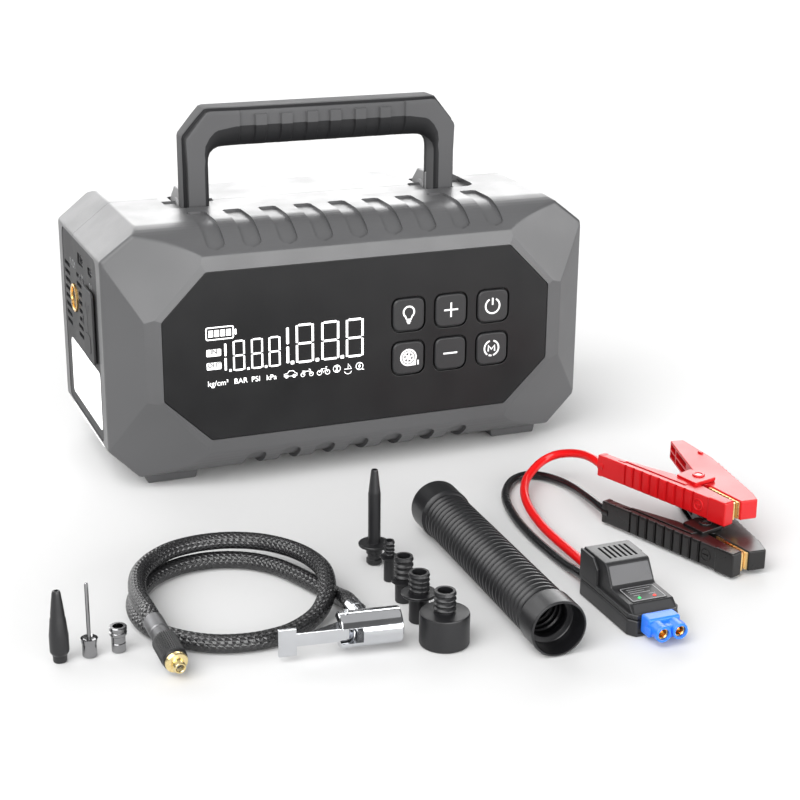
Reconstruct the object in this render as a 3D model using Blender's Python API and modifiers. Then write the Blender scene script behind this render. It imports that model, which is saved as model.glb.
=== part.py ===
"""Portable jump starter with inflator, and the loose kit that lies in front of it.

Frame: +Z up, the unit's front panel faces -Y, the floor is z = 0 and the frame's
origin is under the middle of the kit.  Lengths below are in millimetres.
"""
import math

import bmesh
import bpy
from mathutils import Matrix, Vector

MM = 0.001
GAP = 0.3                      # clearance kept between touching pieces

# ---- driving dimensions of the unit (its own centre is x = 0, y = 0) ----
HALF_WIDTH = 149.9
FACE_Y = -75.0                 # front face, where the bezel ridge lies
TOP_Z = 155.0
BASE_Z = 5.0
SHOULDER_Y = -58.0             # where the corner facets reach the full width
ROLL_Y = -45.0                 # where the rounded front edge meets the flat top
RIDGE_HALF = 129.5
RIDGE_LOW = 58.6
RIDGE_HIGH = 104.1
RIDGE_TOP_X = 94.9
RIDGE_TOP_Z = 140.0
RIDGE_BOTTOM_X = 94.0
RIDGE_BOTTOM_Z = 23.0
SIDE_LOW = 25.4
SIDE_HIGH = 137.8
WALL = 2.6
SEAM_Y = 13.5                  # joint line between the two shells

# front panel and its octagonal outline
PANEL_HALF = 120.0
PANEL_LOW = 58.1
PANEL_HIGH = 104.7
PANEL_TOP_X = 93.9
PANEL_TOP_Z = 131.3
PANEL_BOTTOM_X = 92.6
PANEL_BOTTOM_Z = 31.6
PANEL_Y = -74.6
PANEL_THICK = 2.0

# buttons: two rows of three
BUTTON_X = (28.8, 56.0, 83.5)
BUTTON_Z = (94.6, 67.8)
BUTTON_NAMES = (("button_light", "button_plus", "button_power"),
                ("button_fan", "button_minus", "button_mode"))
BUTTON_SIZE = 20.0
BUTTON_RADIUS = 5.5
BUTTON_PROUD = 0.9
BUTTON_LENGTH = 6.0

# grooves pressed into the rolled edges
GROOVE_PITCH = 21.5
GROOVE_WIDTH = 11.0
GROOVE_DEPTH = 1.8

# folding handle
HINGE_Z = 150.0
LEG_OUT = 86.4
LEG_IN = 72.0
LEG_FRONT = -9.7
LEG_REAR = 10.0
GRIP_LOW = 186.2
GRIP_TOP = 214.0
HEEL_RADIUS = 14.0
TRUNNION_RADIUS = 3.0
TRUNNION_END = 99.0
RECESS_Z = 152.0               # floor of the shallow bay the handle folds into
RECESS_HALF = 98.0
RECESS_FRONT = -15.5
WELL_IN = 66.0
WELL_OUT = 95.0
WELL_FRONT = -12.0
WELL_REAR = 29.0
WELL_Z = 133.0

# left side plate
PLATE_FRONT = -47.5
PLATE_REAR = 47.0
PLATE_LOW = 27.0
PLATE_HIGH = 136.0
PLATE_THICK = 2.2
LENS = (-43.8, 35.3, 33.4, 68.7)          # y, y, z, z
FLAP = (-40.0, -14.5, 72.0, 115.0)
OUTLET_Y = 17.0
OUTLET_Z = 98.0
USB_A = (-3.3, 126.0, 13.2, 5.8)          # y, z, width, height
USB_C = (-29.2, 125.0, 9.2, 3.4)

# right side plate with the blower's port
PORT_Z = 84.0
PORT_RADIUS = 14.6

# compressor gear train
MODULE = 0.8
PINION_TEETH = 12
GEAR_TEETH = 36
MOTOR_Y = 38.0
MOTOR_Z = 122.0
GEAR_X = -24.0
GEAR_Z = MOTOR_Z - MODULE * (PINION_TEETH + GEAR_TEETH) / 2
CRANK_THROW = 5.0

# ---- driving dimensions of the kit ----
CLAMP_ANGLE = math.radians(-72.3)
CLAMP_HEIGHT = 16.0
CLAMP_PIVOT = (59.0, 17.4)
BLACK_CLAMP_AT = (95.6, -198.8, 0.0)
RED_CLAMP_AT = (106.5, -172.0, CLAMP_HEIGHT + GAP)
CABLE_DIAMETER = 5.0
HOSE_DIAMETER = 9.0
DUCT_NEAR = (1.6, -330.2, 14.5)
DUCT_FAR = (6.2, -171.0, 14.5)
KIT_CENTRE = (-27.88, -133.0)   # middle of the whole kit in the unit's coordinates

RED_ROUTE = (
    (56.6, -270.2, 5.4), (56.3, -258.0, 5.6), (56.3, -235.4, 5.8), (56.7, -217.5, 5.6),
    (58.3, -198.7, 5.2), (62.1, -176.0, 5.5), (67.7, -157.5, 6.5), (76.1, -142.1, 7.8),
    (85.2, -132.7, 9.6), (93.9, -127.4, 12.0), (101.1, -129.0, 15.4), (105.6, -137.2, 19.0),
    (108.2, -149.5, 22.4), (108.6, -161.5, 24.2), (108.8, -170.1, 24.3))
BLACK_ROUTE = (
    (49.4, -270.2, 5.4), (49.3, -258.1, 4.6), (49.0, -246.9, 3.4), (48.8, -226.7, 2.8),
    (49.2, -203.5, 2.7), (51.6, -179.9, 2.7), (57.1, -156.2, 2.7), (64.3, -140.5, 2.7),
    (74.8, -127.6, 2.7), (86.2, -123.4, 2.7), (95.2, -129.7, 2.8), (100.2, -142.7, 3.4),
    (101.2, -155.0, 4.4), (100.3, -168.0, 5.8), (98.6, -184.0, 7.4), (97.9, -196.9, 8.0))
HOSE_ROUTE = (
    (-173.1, -250.8, 13.6), (-173.6, -243.2, 14.8), (-173.2, -222.7, 14.1),
    (-168.0, -201.5, 13.8), (-159.2, -187.8, 13.8), (-147.2, -178.2, 13.8),
    (-135.0, -174.2, 13.8), (-122.1, -173.8, 13.8), (-109.8, -176.8, 13.8),
    (-96.9, -184.6, 13.8), (-86.3, -197.6, 13.8), (-80.5, -213.2, 13.9),
    (-79.6, -230.4, 13.8), (-84.5, -247.5, 11.0), (-94.0, -260.0, 6.8),
    (-108.0, -268.2, 4.7), (-121.0, -271.9, 4.6), (-134.0, -271.9, 4.6),
    (-147.4, -268.0, 4.6), (-159.0, -260.0, 4.6), (-168.6, -248.5, 4.6),
    (-174.0, -233.0, 4.6), (-173.6, -216.0, 4.6), (-167.4, -200.0, 4.6),
    (-156.5, -186.6, 4.6), (-143.1, -178.9, 4.6), (-129.3, -176.6, 4.6),
    (-115.6, -179.0, 4.6), (-103.0, -186.2, 4.6), (-93.4, -197.6, 4.6),
    (-86.6, -212.0, 4.6), (-81.5, -226.0, 4.6), (-77.0, -240.0, 4.8),
    (-76.6, -253.5, 8.4), (-78.2, -268.3, 11.1))
FITTING_START = Vector((-173.1, -251.5, 13.5))
FITTING_END = Vector((-170.4, -291.0, 6.9))
CHUCK_LEFT = Vector((-93.2, -287.7, 11.2))
CHUCK_RIGHT = Vector((-63.5, -291.7, 11.2))

CHUCK_PIN = 4.0                # distance of the lever's pin from the chuck's end

COLOURS = {
    "shell": ((0.16, 0.16, 0.165), 0.42, 0.0),
    "panel": ((0.035, 0.035, 0.037), 0.3, 0.0),
    "key": ((0.03, 0.03, 0.032), 0.5, 0.0),
    "handle": ((0.085, 0.085, 0.088), 0.5, 0.0),
    "black": ((0.02, 0.02, 0.021), 0.45, 0.0),
    "rubber": ((0.03, 0.03, 0.03), 0.8, 0.0),
    "red": ((0.72, 0.012, 0.02), 0.35, 0.0),
    "blue": ((0.03, 0.19, 0.8), 0.35, 0.0),
    "brass": ((0.78, 0.5, 0.17), 0.25, 1.0),
    "copper": ((0.72, 0.42, 0.2), 0.3, 1.0),
    "chrome": ((0.75, 0.76, 0.78), 0.1, 1.0),
    "steel": ((0.55, 0.56, 0.58), 0.3, 1.0),
    "white": ((0.9, 0.9, 0.9), 0.3, 0.0),
    "board": ((0.02, 0.16, 0.06), 0.5, 0.0),
    "cell": ((0.05, 0.16, 0.4), 0.5, 0.0),
}

PARTS = None
CUTTERS = None
FRAME = None


# ---------------------------------------------------------------- scene helpers
def start_scene():
    """Clear the scene and make the two collections and the kit's frame."""
    global PARTS, CUTTERS, FRAME
    for obj in list(bpy.data.objects):
        bpy.data.objects.remove(obj, do_unlink=True)
    PARTS = bpy.data.collections.new("jump_starter_pack")
    CUTTERS = bpy.data.collections.new("cutters")
    for collection in (PARTS, CUTTERS):
        bpy.context.scene.collection.children.link(collection)
    FRAME = bpy.data.objects.new("kit_frame", None)
    FRAME.location = (-KIT_CENTRE[0] * MM, -KIT_CENTRE[1] * MM, 0.0)
    PARTS.objects.link(FRAME)


def paint(obj, look):
    """Give the object its own Principled material."""
    colour, roughness, metallic = COLOURS[look]
    material = bpy.data.materials.new(obj.name + "_material")
    material.use_nodes = True
    shader = material.node_tree.nodes["Principled BSDF"]
    shader.inputs["Base Color"].default_value = (*colour, 1.0)
    shader.inputs["Roughness"].default_value = roughness
    shader.inputs["Metallic"].default_value = metallic
    obj.data.materials.clear()
    obj.data.materials.append(material)


def add_object(name, mesh, look):
    """Link a mesh as a part when it has a look, otherwise as a cutter."""
    obj = bpy.data.objects.new(name, mesh)
    obj.parent = FRAME
    if look is None:
        CUTTERS.objects.link(obj)
        obj.hide_render = True
        obj.display_type = "WIRE"
    else:
        PARTS.objects.link(obj)
        paint(obj, look)
    return obj


def axis_matrix(x_axis, y_axis, origin):
    """Matrix that puts local X and Y along the two given directions, origin in mm."""
    x_dir = Vector(x_axis).normalized()
    z_dir = x_dir.cross(Vector(y_axis)).normalized()
    y_dir = z_dir.cross(x_dir)
    turn = Matrix((x_dir, y_dir, z_dir)).transposed().to_4x4()
    return Matrix.Translation(Vector(origin) * MM) @ turn


def along(start, end):
    """Matrix with local Z running from start towards end, at start."""
    direction = Vector(end) - Vector(start)
    turn = direction.to_track_quat("Z", "Y").to_matrix().to_4x4()
    return Matrix.Translation(Vector(start) * MM) @ turn


def add_bevel(obj, width, segments=1, angle=35.0):
    bevel = obj.modifiers.new("bevel", "BEVEL")
    bevel.width = width * MM
    bevel.segments = segments
    bevel.limit_method = "ANGLE"
    bevel.angle_limit = math.radians(angle)
    return obj


def box(name, low, high, look=None, bevel=0.0):
    """Axis-aligned box between two corners."""
    low = Vector(low)
    high = Vector(high)
    mesh = bpy.data.meshes.new(name)
    bm = bmesh.new()
    bmesh.ops.create_cube(bm, size=1.0, matrix=Matrix.Diagonal((*((high - low) * MM), 1.0)))
    bm.to_mesh(mesh)
    bm.free()
    obj = add_object(name, mesh, look)
    obj.location = (low + high) * 0.5 * MM
    if bevel:
        add_bevel(obj, bevel)
    return obj


def rod(name, start, end, radius, look=None, sides=24, radius_end=None):
    """Cylinder or cone between two points."""
    start = Vector(start)
    end = Vector(end)
    mesh = bpy.data.meshes.new(name)
    bm = bmesh.new()
    bmesh.ops.create_cone(bm, cap_ends=True, segments=sides, radius1=radius * MM,
                          radius2=(radius if radius_end is None else radius_end) * MM,
                          depth=(end - start).length * MM)
    bm.to_mesh(mesh)
    bm.free()
    obj = add_object(name, mesh, look)
    obj.matrix_basis = along((start + end) * 0.5, end)
    return obj


def turned(name, profile, matrix, look=None, sides=24, closed=False):
    """Turn a profile of (radius, height) about local Z; it runs top to bottom outside."""
    mesh = bpy.data.meshes.new(name)
    bm = bmesh.new()
    verts = [bm.verts.new((radius * MM, 0.0, height * MM)) for radius, height in profile]
    for first, second in zip(verts, verts[1:]):
        bm.edges.new((first, second))
    if closed:
        bm.edges.new((verts[-1], verts[0]))
    bm.to_mesh(mesh)
    bm.free()
    obj = add_object(name, mesh, look)
    obj.matrix_basis = matrix
    screw = obj.modifiers.new("turn", "SCREW")
    screw.steps = sides
    screw.render_steps = sides
    screw.use_merge_vertices = True
    screw.merge_threshold = 0.000001
    weld = obj.modifiers.new("weld", "WELD")
    weld.merge_threshold = 0.000001
    return obj


def curve_to_mesh(name, curve, matrix, look):
    """Replace a curve with the welded mesh it makes."""
    guide = bpy.data.objects.new(name + "_guide", curve)
    PARTS.objects.link(guide)
    graph = bpy.context.evaluated_depsgraph_get()
    mesh = bpy.data.meshes.new_from_object(guide.evaluated_get(graph))
    bpy.data.objects.remove(guide, do_unlink=True)
    mesh.name = name
    bm = bmesh.new()
    bm.from_mesh(mesh)
    bmesh.ops.remove_doubles(bm, verts=bm.verts, dist=0.000001)
    bmesh.ops.recalc_face_normals(bm, faces=bm.faces)
    bm.to_mesh(mesh)
    bm.free()
    obj = add_object(name, mesh, look)
    obj.matrix_basis = matrix
    return obj


def prism(name, points, depth, matrix, look=None):
    """Flat outline in local XY, given its thickness along local Z from the origin."""
    curve = bpy.data.curves.new(name, "CURVE")
    curve.dimensions = "2D"
    curve.fill_mode = "BOTH"
    curve.extrude = depth * MM / 2
    spline = curve.splines.new("POLY")
    spline.points.add(len(points) - 1)
    for point, (x, y) in zip(spline.points, points):
        point.co = (x * MM, y * MM, 0.0, 1.0)
    spline.use_cyclic_u = True
    return curve_to_mesh(name, curve, matrix @ Matrix.Translation((0, 0, depth * MM / 2)), look)


def front_view(y):
    """Outline points are (x, z); the thickness runs towards -Y from y."""
    return axis_matrix((1, 0, 0), (0, 0, 1), (0, y, 0))


def side_view(x):
    """Outline points are (y, z); the thickness runs towards +X from x."""
    return axis_matrix((0, 1, 0), (0, 0, 1), (x, 0, 0))


def plan_view(z):
    """Outline points are (x, y); the thickness runs up from z."""
    return Matrix.Translation((0, 0, z * MM))


def rounded(points, radius, steps=3):
    """Round every corner of an outline."""
    result = []
    count = len(points)
    for index, corner in enumerate(points):
        here = Vector(corner)
        before = Vector(points[index - 1]) - here
        after = Vector(points[(index + 1) % count]) - here
        half = before.angle(after) / 2
        reach = min(radius / math.tan(half), before.length * 0.49, after.length * 0.49)
        start = here + before.normalized() * reach
        finish = here + after.normalized() * reach
        for step in range(steps + 1):
            t = step / steps
            point = start * (1 - t) ** 2 + here * 2 * t * (1 - t) + finish * t ** 2
            result.append(tuple(point))
    return result


def rectangle(x_low, x_high, y_low, y_high):
    return [(x_low, y_low), (x_high, y_low), (x_high, y_high), (x_low, y_high)]


def boolean(obj, tool, operation):
    modifier = obj.modifiers.new(operation.lower(), "BOOLEAN")
    modifier.operation = operation
    modifier.object = tool
    return obj


def cut(obj, *tools):
    for tool in tools:
        boolean(obj, tool, "DIFFERENCE")
    return obj


def join(obj, *tools):
    for tool in tools:
        boolean(obj, tool, "UNION")
    return obj


def cord(name, route, diameter, spacing, look, resolution=2):
    """Tube along a smooth curve through the route's points."""
    curve = bpy.data.curves.new(name, "CURVE")
    curve.dimensions = "3D"
    curve.bevel_depth = diameter * MM / 2
    curve.bevel_resolution = resolution
    curve.use_fill_caps = True
    points = smooth_route(route, spacing)
    spline = curve.splines.new("POLY")
    spline.points.add(len(points) - 1)
    for point, place in zip(spline.points, points):
        point.co = (*(place * MM), 1.0)
    return curve_to_mesh(name, curve, Matrix.Identity(4), look)


def smooth_route(route, spacing):
    """Points about every spacing mm on a Catmull-Rom curve through the route."""
    knots = [Vector(point) for point in route]
    knots = [knots[0] * 2 - knots[1]] + knots + [knots[-1] * 2 - knots[-2]]
    fine = []
    for p0, p1, p2, p3 in zip(knots, knots[1:], knots[2:], knots[3:]):
        for step in range(12):
            t = step / 12
            fine.append(0.5 * (2 * p1 + (p2 - p0) * t + (2 * p0 - 5 * p1 + 4 * p2 - p3) * t ** 2
                               + (3 * p1 - p0 - 3 * p2 + p3) * t ** 3))
    fine.append(knots[-2])
    total = sum((b - a).length for a, b in zip(fine, fine[1:]))
    count = max(2, round(total / spacing))
    points = [fine[0]]
    run = 0.0
    for a, b in zip(fine, fine[1:]):
        run += (b - a).length
        if run >= total / count * len(points) and len(points) < count:
            points.append(b)
    points.append(fine[-1])
    return points


# ---------------------------------------------------------------- unit housing
def roll_profile(inset):
    """Side view of the housing: flat top and base with large rolled edges."""
    points = []
    for centre_z, edge_z, side in ((TOP_Z, RIDGE_TOP_Z, 1), (BASE_Z, RIDGE_BOTTOM_Z, -1)):
        drop = abs(centre_z - edge_z)
        run = abs(FACE_Y - ROLL_Y)
        radius = (run ** 2 + drop ** 2) / (2 * drop)
        sweep = math.asin(run / radius)
        arc = []
        for step in range(7):
            angle = sweep * step / 6
            y = ROLL_Y - (radius - inset) * math.sin(angle)
            z = centre_z - side * (radius - (radius - inset) * math.cos(angle))
            arc.append((max(y, FACE_Y + inset), z))
        points.append(arc)
    top, bottom = points
    front = bottom + top[::-1]
    rear = [(-y, z) for y, z in top + bottom[::-1]]
    return front + rear


def plane_through(a, b, c):
    """Plane through three points, its normal turned away from the housing's middle."""
    a = Vector(a)
    normal = (Vector(b) - a).cross(Vector(c) - a).normalized()
    if normal.dot(a - Vector((0, 0, 80))) < 0:
        normal.negate()
    return a, normal


def facet_planes():
    """The flat faces that give the housing its eight-sided front and rear."""
    planes = []
    for sx in (-1, 1):
        for sy in (-1, 1):
            face = FACE_Y * sy
            shoulder = SHOULDER_Y * sy
            high = (RIDGE_HALF * sx, face, RIDGE_HIGH)
            low = (RIDGE_HALF * sx, face, RIDGE_LOW)
            outer_high = (HALF_WIDTH * sx, shoulder, SIDE_HIGH)
            outer_low = (HALF_WIDTH * sx, shoulder, SIDE_LOW)
            planes.append(plane_through((RIDGE_TOP_X * sx, face, RIDGE_TOP_Z), high, outer_high))
            planes.append(plane_through((RIDGE_BOTTOM_X * sx, face, RIDGE_BOTTOM_Z), low, outer_low))
            planes.append(plane_through(low, high, outer_high))
        planes.append(plane_through((HALF_WIDTH * sx, 0, SIDE_HIGH), (HALF_WIDTH * sx, 9, SIDE_HIGH),
                                    (130.5 * sx, 0, 152.7)))
        planes.append(plane_through((HALF_WIDTH * sx, 0, SIDE_LOW), (HALF_WIDTH * sx, 9, SIDE_LOW),
                                    (131.4 * sx, 0, 6.5)))
    return planes


def housing_solid(name, inset, look=None):
    """The whole housing as one solid, drawn in by inset on every face."""
    solid = prism(name, roll_profile(inset), 2 * (HALF_WIDTH - inset), side_view(-HALF_WIDTH + inset),
                  look)
    bm = bmesh.new()
    bm.from_mesh(solid.data)
    bm.transform(solid.matrix_basis)
    solid.matrix_basis = Matrix.Identity(4)
    for point, normal in facet_planes():
        inner = (point - normal * inset) * MM
        found = bmesh.ops.bisect_plane(bm, geom=bm.verts[:] + bm.edges[:] + bm.faces[:],
                                       plane_co=inner, plane_no=normal, clear_outer=True)
        rim = [edge for edge in found["geom_cut"] if isinstance(edge, bmesh.types.BMEdge)]
        bmesh.ops.edgeloop_fill(bm, edges=rim)
    bmesh.ops.recalc_face_normals(bm, faces=bm.faces)
    bm.to_mesh(solid.data)
    bm.free()
    return solid


def groove_cutter(name, top, centre_x, width):
    """Curved bar that presses one groove into a rolled edge."""
    centre_z, edge_z, side = (TOP_Z, RIDGE_TOP_Z, 1) if top else (BASE_Z, RIDGE_BOTTOM_Z, -1)
    drop = abs(centre_z - edge_z)
    run = abs(FACE_Y - ROLL_Y)
    radius = (run ** 2 + drop ** 2) / (2 * drop)
    outer = []
    inner = []
    for step in range(7):
        angle = math.asin(run / radius) * 0.93 * step / 6
        for r, arc in ((radius + 3, outer), (radius - GROOVE_DEPTH, inner)):
            arc.append((ROLL_Y - r * math.sin(angle), centre_z - side * (radius - r * math.cos(angle))))
    start_y = -27.0 if top else -36.0
    outer.insert(0, (start_y, outer[0][1]))
    inner.insert(0, (start_y, inner[0][1]))
    points = outer + inner[::-1]
    return prism(name, points, width, side_view(centre_x - width / 2))


def octagon(half, low, high, top_x, top_z, bottom_x, bottom_z, inset=0.0):
    """Eight-sided outline drawn in by inset."""
    slant = inset * 0.42
    return [(half - inset, low + slant), (half - inset, high - slant),
            (top_x - slant, top_z - inset), (-top_x + slant, top_z - inset),
            (-half + inset, high - slant), (-half + inset, low + slant),
            (-bottom_x + slant, bottom_z + inset), (bottom_x - slant, bottom_z + inset)]


def panel_outline(inset, radius=3.0):
    return rounded(octagon(PANEL_HALF, PANEL_LOW, PANEL_HIGH, PANEL_TOP_X, PANEL_TOP_Z,
                           PANEL_BOTTOM_X, PANEL_BOTTOM_Z, inset), radius)


def foot(name, centre_x, front):
    """Moulded foot: a block that narrows towards the floor."""
    y_near = -50.5 if front else 50.5
    y_far = -28.0 if front else 28.0
    low = min(y_near, y_far)
    profile = [(-14.4, 0.0), (14.4, 0.0), (16.4, 7.5), (-16.4, 7.5)]
    matrix = axis_matrix((1, 0, 0), (0, 0, 1), (centre_x, low + 22.5, 0))
    return prism(name, profile, 22.5, matrix)


def trunnion_boss(name, side):
    """Block inside the shell that carries one handle trunnion, with its well's walls."""
    x_low, x_high = sorted((side * (WELL_IN - 4), side * (TRUNNION_END + 3)))
    return box(name, (x_low, WELL_FRONT - 3, WELL_Z - 3), (x_high, WELL_REAR + 3, TOP_Z - 1.5))


def cut_handle_bay(shell):
    """Shallow bay behind the handle with its floor, the two wells and the trunnion holes."""
    join(shell, box("bay_floor_" + shell.name, (-RECESS_HALF - 2, RECESS_FRONT - 2, RECESS_Z - WALL),
                    (RECESS_HALF + 2, 61.0, TOP_Z - 1.0)))
    bay = prism("bay_" + shell.name,
                rounded(rectangle(-RECESS_HALF, RECESS_HALF, RECESS_FRONT, 90.0), 10.0), 20.0,
                plan_view(RECESS_Z))
    cut(shell, bay)
    for label, side in (("left", -1), ("right", 1)):
        x_low, x_high = sorted((side * WELL_IN, side * WELL_OUT))
        well = prism("well_%s_%s" % (label, shell.name),
                     rounded(rectangle(x_low, x_high, WELL_FRONT, WELL_REAR), 5.0), 40.0,
                     plan_view(WELL_Z))
        hole = rod("trunnion_hole_%s_%s" % (label, shell.name),
                   (side * (WELL_IN - 2), SEAM_Y, HINGE_Z), (side * TRUNNION_END, SEAM_Y, HINGE_Z),
                   TRUNNION_RADIUS + 0.35, sides=16)
        cut(shell, well, hole)


def side_openings(shell):
    """Openings for the plates let into the two sides."""
    for label, side in (("left", -1), ("right", 1)):
        x_low, x_high = sorted((side * (HALF_WIDTH + 5), side * (HALF_WIDTH - WALL - 6)))
        opening = rectangle(PLATE_FRONT, PLATE_REAR, PLATE_LOW, PLATE_HIGH)
        cut(shell, prism("side_%s_%s" % (label, shell.name), rounded(opening, 6.0),
                         x_high - x_low, side_view(x_low)))


def make_shell(name, front):
    """One half of the housing, hollow and open at the seam."""
    shell = housing_solid(name, 0.0, "shell")
    cut(shell, housing_solid("hollow_" + name, WALL))
    if front:
        keep_out = box("behind_seam", (-200, SEAM_Y - GAP / 2, -20), (200, 200, 220))
    else:
        keep_out = box("before_seam", (-200, -200, -20), (200, SEAM_Y + GAP / 2, 220))
    for label, side in (("left", -1), ("right", 1)):
        join(shell, trunnion_boss("boss_%s_%s" % (label, name), side))
    for label, centre_x in (("left", -111.2), ("right", 111.2)):
        join(shell, foot("foot_%s_%s" % (label, name), centre_x, front))
    cut_handle_bay(shell)
    side_openings(shell)
    cut(shell, keep_out)
    return shell


def front_details(shell):
    """Panel seat, and the grooves of the front's two rolled edges."""
    seat = prism("panel_seat", panel_outline(-GAP), 8.0, front_view(PANEL_Y + PANEL_THICK + GAP))
    window = prism("panel_window", panel_outline(6.0), 20.0, front_view(-62.0))
    cut(shell, seat, window)
    for index in range(-4, 5):
        cut(shell, groove_cutter("groove_top_%d" % index, True, index * GROOVE_PITCH, GROOVE_WIDTH))
    for index in range(-3, 4):
        cut(shell, groove_cutter("groove_base_%d" % index, False, index * GROOVE_PITCH,
                                 GROOVE_WIDTH + 1))


# ---------------------------------------------------------------- unit: panel, keys, sides
def key_outline(x, z, grow):
    half = BUTTON_SIZE / 2 + grow
    return rounded(rectangle(x - half, x + half, z - half, z + half), BUTTON_RADIUS + grow)


def make_panel_and_keys():
    panel = prism("front_panel", panel_outline(0.0), PANEL_THICK, front_view(PANEL_Y + PANEL_THICK),
                  "panel")
    for row, z in enumerate(BUTTON_Z):
        for column, x in enumerate(BUTTON_X):
            name = BUTTON_NAMES[row][column]
            cut(panel, prism("hole_" + name, key_outline(x, z, GAP), 10.0, front_view(-70.0)))
            back = PANEL_Y - BUTTON_PROUD + BUTTON_LENGTH
            key = prism(name, key_outline(x, z, 0.0), BUTTON_LENGTH, front_view(back), "key")
            add_bevel(key, 0.6, angle=60)
    box("display_module", (-103.0, -72.2, 46.0), (4.0, -68.0, 106.0), "panel", bevel=0.6)
    board = box("main_board", (-60.0, -64.6, 34.0), (98.0, -63.0, 118.0), "board")
    for row, z in enumerate(BUTTON_Z):
        for column, x in enumerate(BUTTON_X):
            join(board, box("switch_%d_%d" % (row, column), (x - 3, -67.6, z - 3), (x + 3, -64.4, z + 3)))
    join(board, box("board_relay", (-40, -63.4, 60), (-8, -50, 92)),
         box("board_choke", (10, -63.4, 50), (34, -46, 74)))


def plate_with_rim(name, side):
    """Side plate that stands in the shell's opening, with a rim behind the wall."""
    outer = side * (HALF_WIDTH - 0.3)
    inner = side * (HALF_WIDTH - 0.3 - PLATE_THICK)
    low, high = sorted((outer, inner))
    face = rounded(rectangle(PLATE_FRONT + GAP, PLATE_REAR - GAP, PLATE_LOW + GAP, PLATE_HIGH - GAP), 5.7)
    plate = prism(name, face, high - low + 1.2, side_view(low - (1.2 if side > 0 else 0)), "black")
    rim_low = HALF_WIDTH - WALL - GAP - 1.6
    x_low = rim_low if side > 0 else -rim_low - 1.6
    rim = rounded(rectangle(PLATE_FRONT - 3, PLATE_REAR + 3, PLATE_LOW - 0.6, PLATE_HIGH + 0.5), 4.0)
    join(plate, prism("rim_" + name, rim, 1.6, side_view(x_low)))
    return plate


def make_left_side():
    """Ports, air outlet, work light and the covered jump socket."""
    plate = plate_with_rim("side_panel_left", -1)
    x_out = -HALF_WIDTH
    y0, y1, z0, z1 = LENS
    lens_hole = prism("lens_hole", rounded(rectangle(y0 - GAP, y1 + GAP, z0 - GAP, z1 + GAP), 4.0), 20,
                      side_view(x_out - 8))
    usb_y, usb_z, usb_w, usb_h = USB_A
    usb_hole = box("usb_a_hole", (x_out - 5, usb_y - usb_w / 2 - 1, usb_z - usb_h / 2 - 1),
                   (x_out + 12, usb_y + usb_w / 2 + 1, usb_z + usb_h / 2 + 1))
    c_y, c_z, c_w, c_h = USB_C
    c_hole = prism("usb_c_hole", rounded(rectangle(c_y - c_w / 2 - 0.8, c_y + c_w / 2 + 0.8,
                                                   c_z - c_h / 2 - 0.8, c_z + c_h / 2 + 0.8), 2.0),
                   17, side_view(x_out - 5))
    outlet_hole = rod("outlet_hole", (x_out - 5, OUTLET_Y, OUTLET_Z), (x_out + 12, OUTLET_Y, OUTLET_Z),
                      8.9, sides=32)
    f0, f1, g0, g1 = FLAP
    socket_hole = box("socket_hole", (x_out - 5, f0 + 4, g0 + 6), (x_out + 12, f1 - 3, g1 - 6))
    cut(plate, lens_hole, usb_hole, c_hole, outlet_hole, socket_hole)
    for index in range(6):
        z = 80.0 + index * 6.4
        for label, y_low, y_high in (("a", -9.0, 4.5), ("b", 29.5, 42.0)):
            cut(plate, box("vent_%s_%d" % (label, index), (x_out - 5, y_low, z), (x_out + 12, y_high, z + 3.2)))
    lens = prism("led_lens", rounded(rectangle(y0, y1, z0, z1), 3.6), 3.4, side_view(x_out - 0.2), "white")
    add_bevel(lens, 0.5, angle=60)
    make_outlet(x_out)
    make_sockets(x_out)
    hinge_x = x_out - 1.0
    flap = prism("socket_flap", rounded(rectangle(f0, f1, g0, g1), 3.0), 1.5, side_view(hinge_x - 0.9),
                 "rubber")
    set_origin(flap, (hinge_x, f0, (g0 + g1) / 2))


def make_outlet(x_out):
    """Brass quick-connect that the air hose screws into."""
    matrix = axis_matrix((0, 1, 0), (0, 0, 1), (x_out + 14.0, OUTLET_Y, OUTLET_Z))
    matrix = matrix @ Matrix.Rotation(math.pi, 4, "X")
    profile = [(8.5, 14.8), (8.5, 11.0), (7.2, 10.6), (7.2, 2.0), (6.0, 2.0), (6.0, 0.0),
               (3.0, 0.0), (3.0, 6.0), (5.0, 6.4), (5.0, 14.8)]
    turned("air_outlet", profile, matrix, "brass", sides=28, closed=True)


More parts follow.
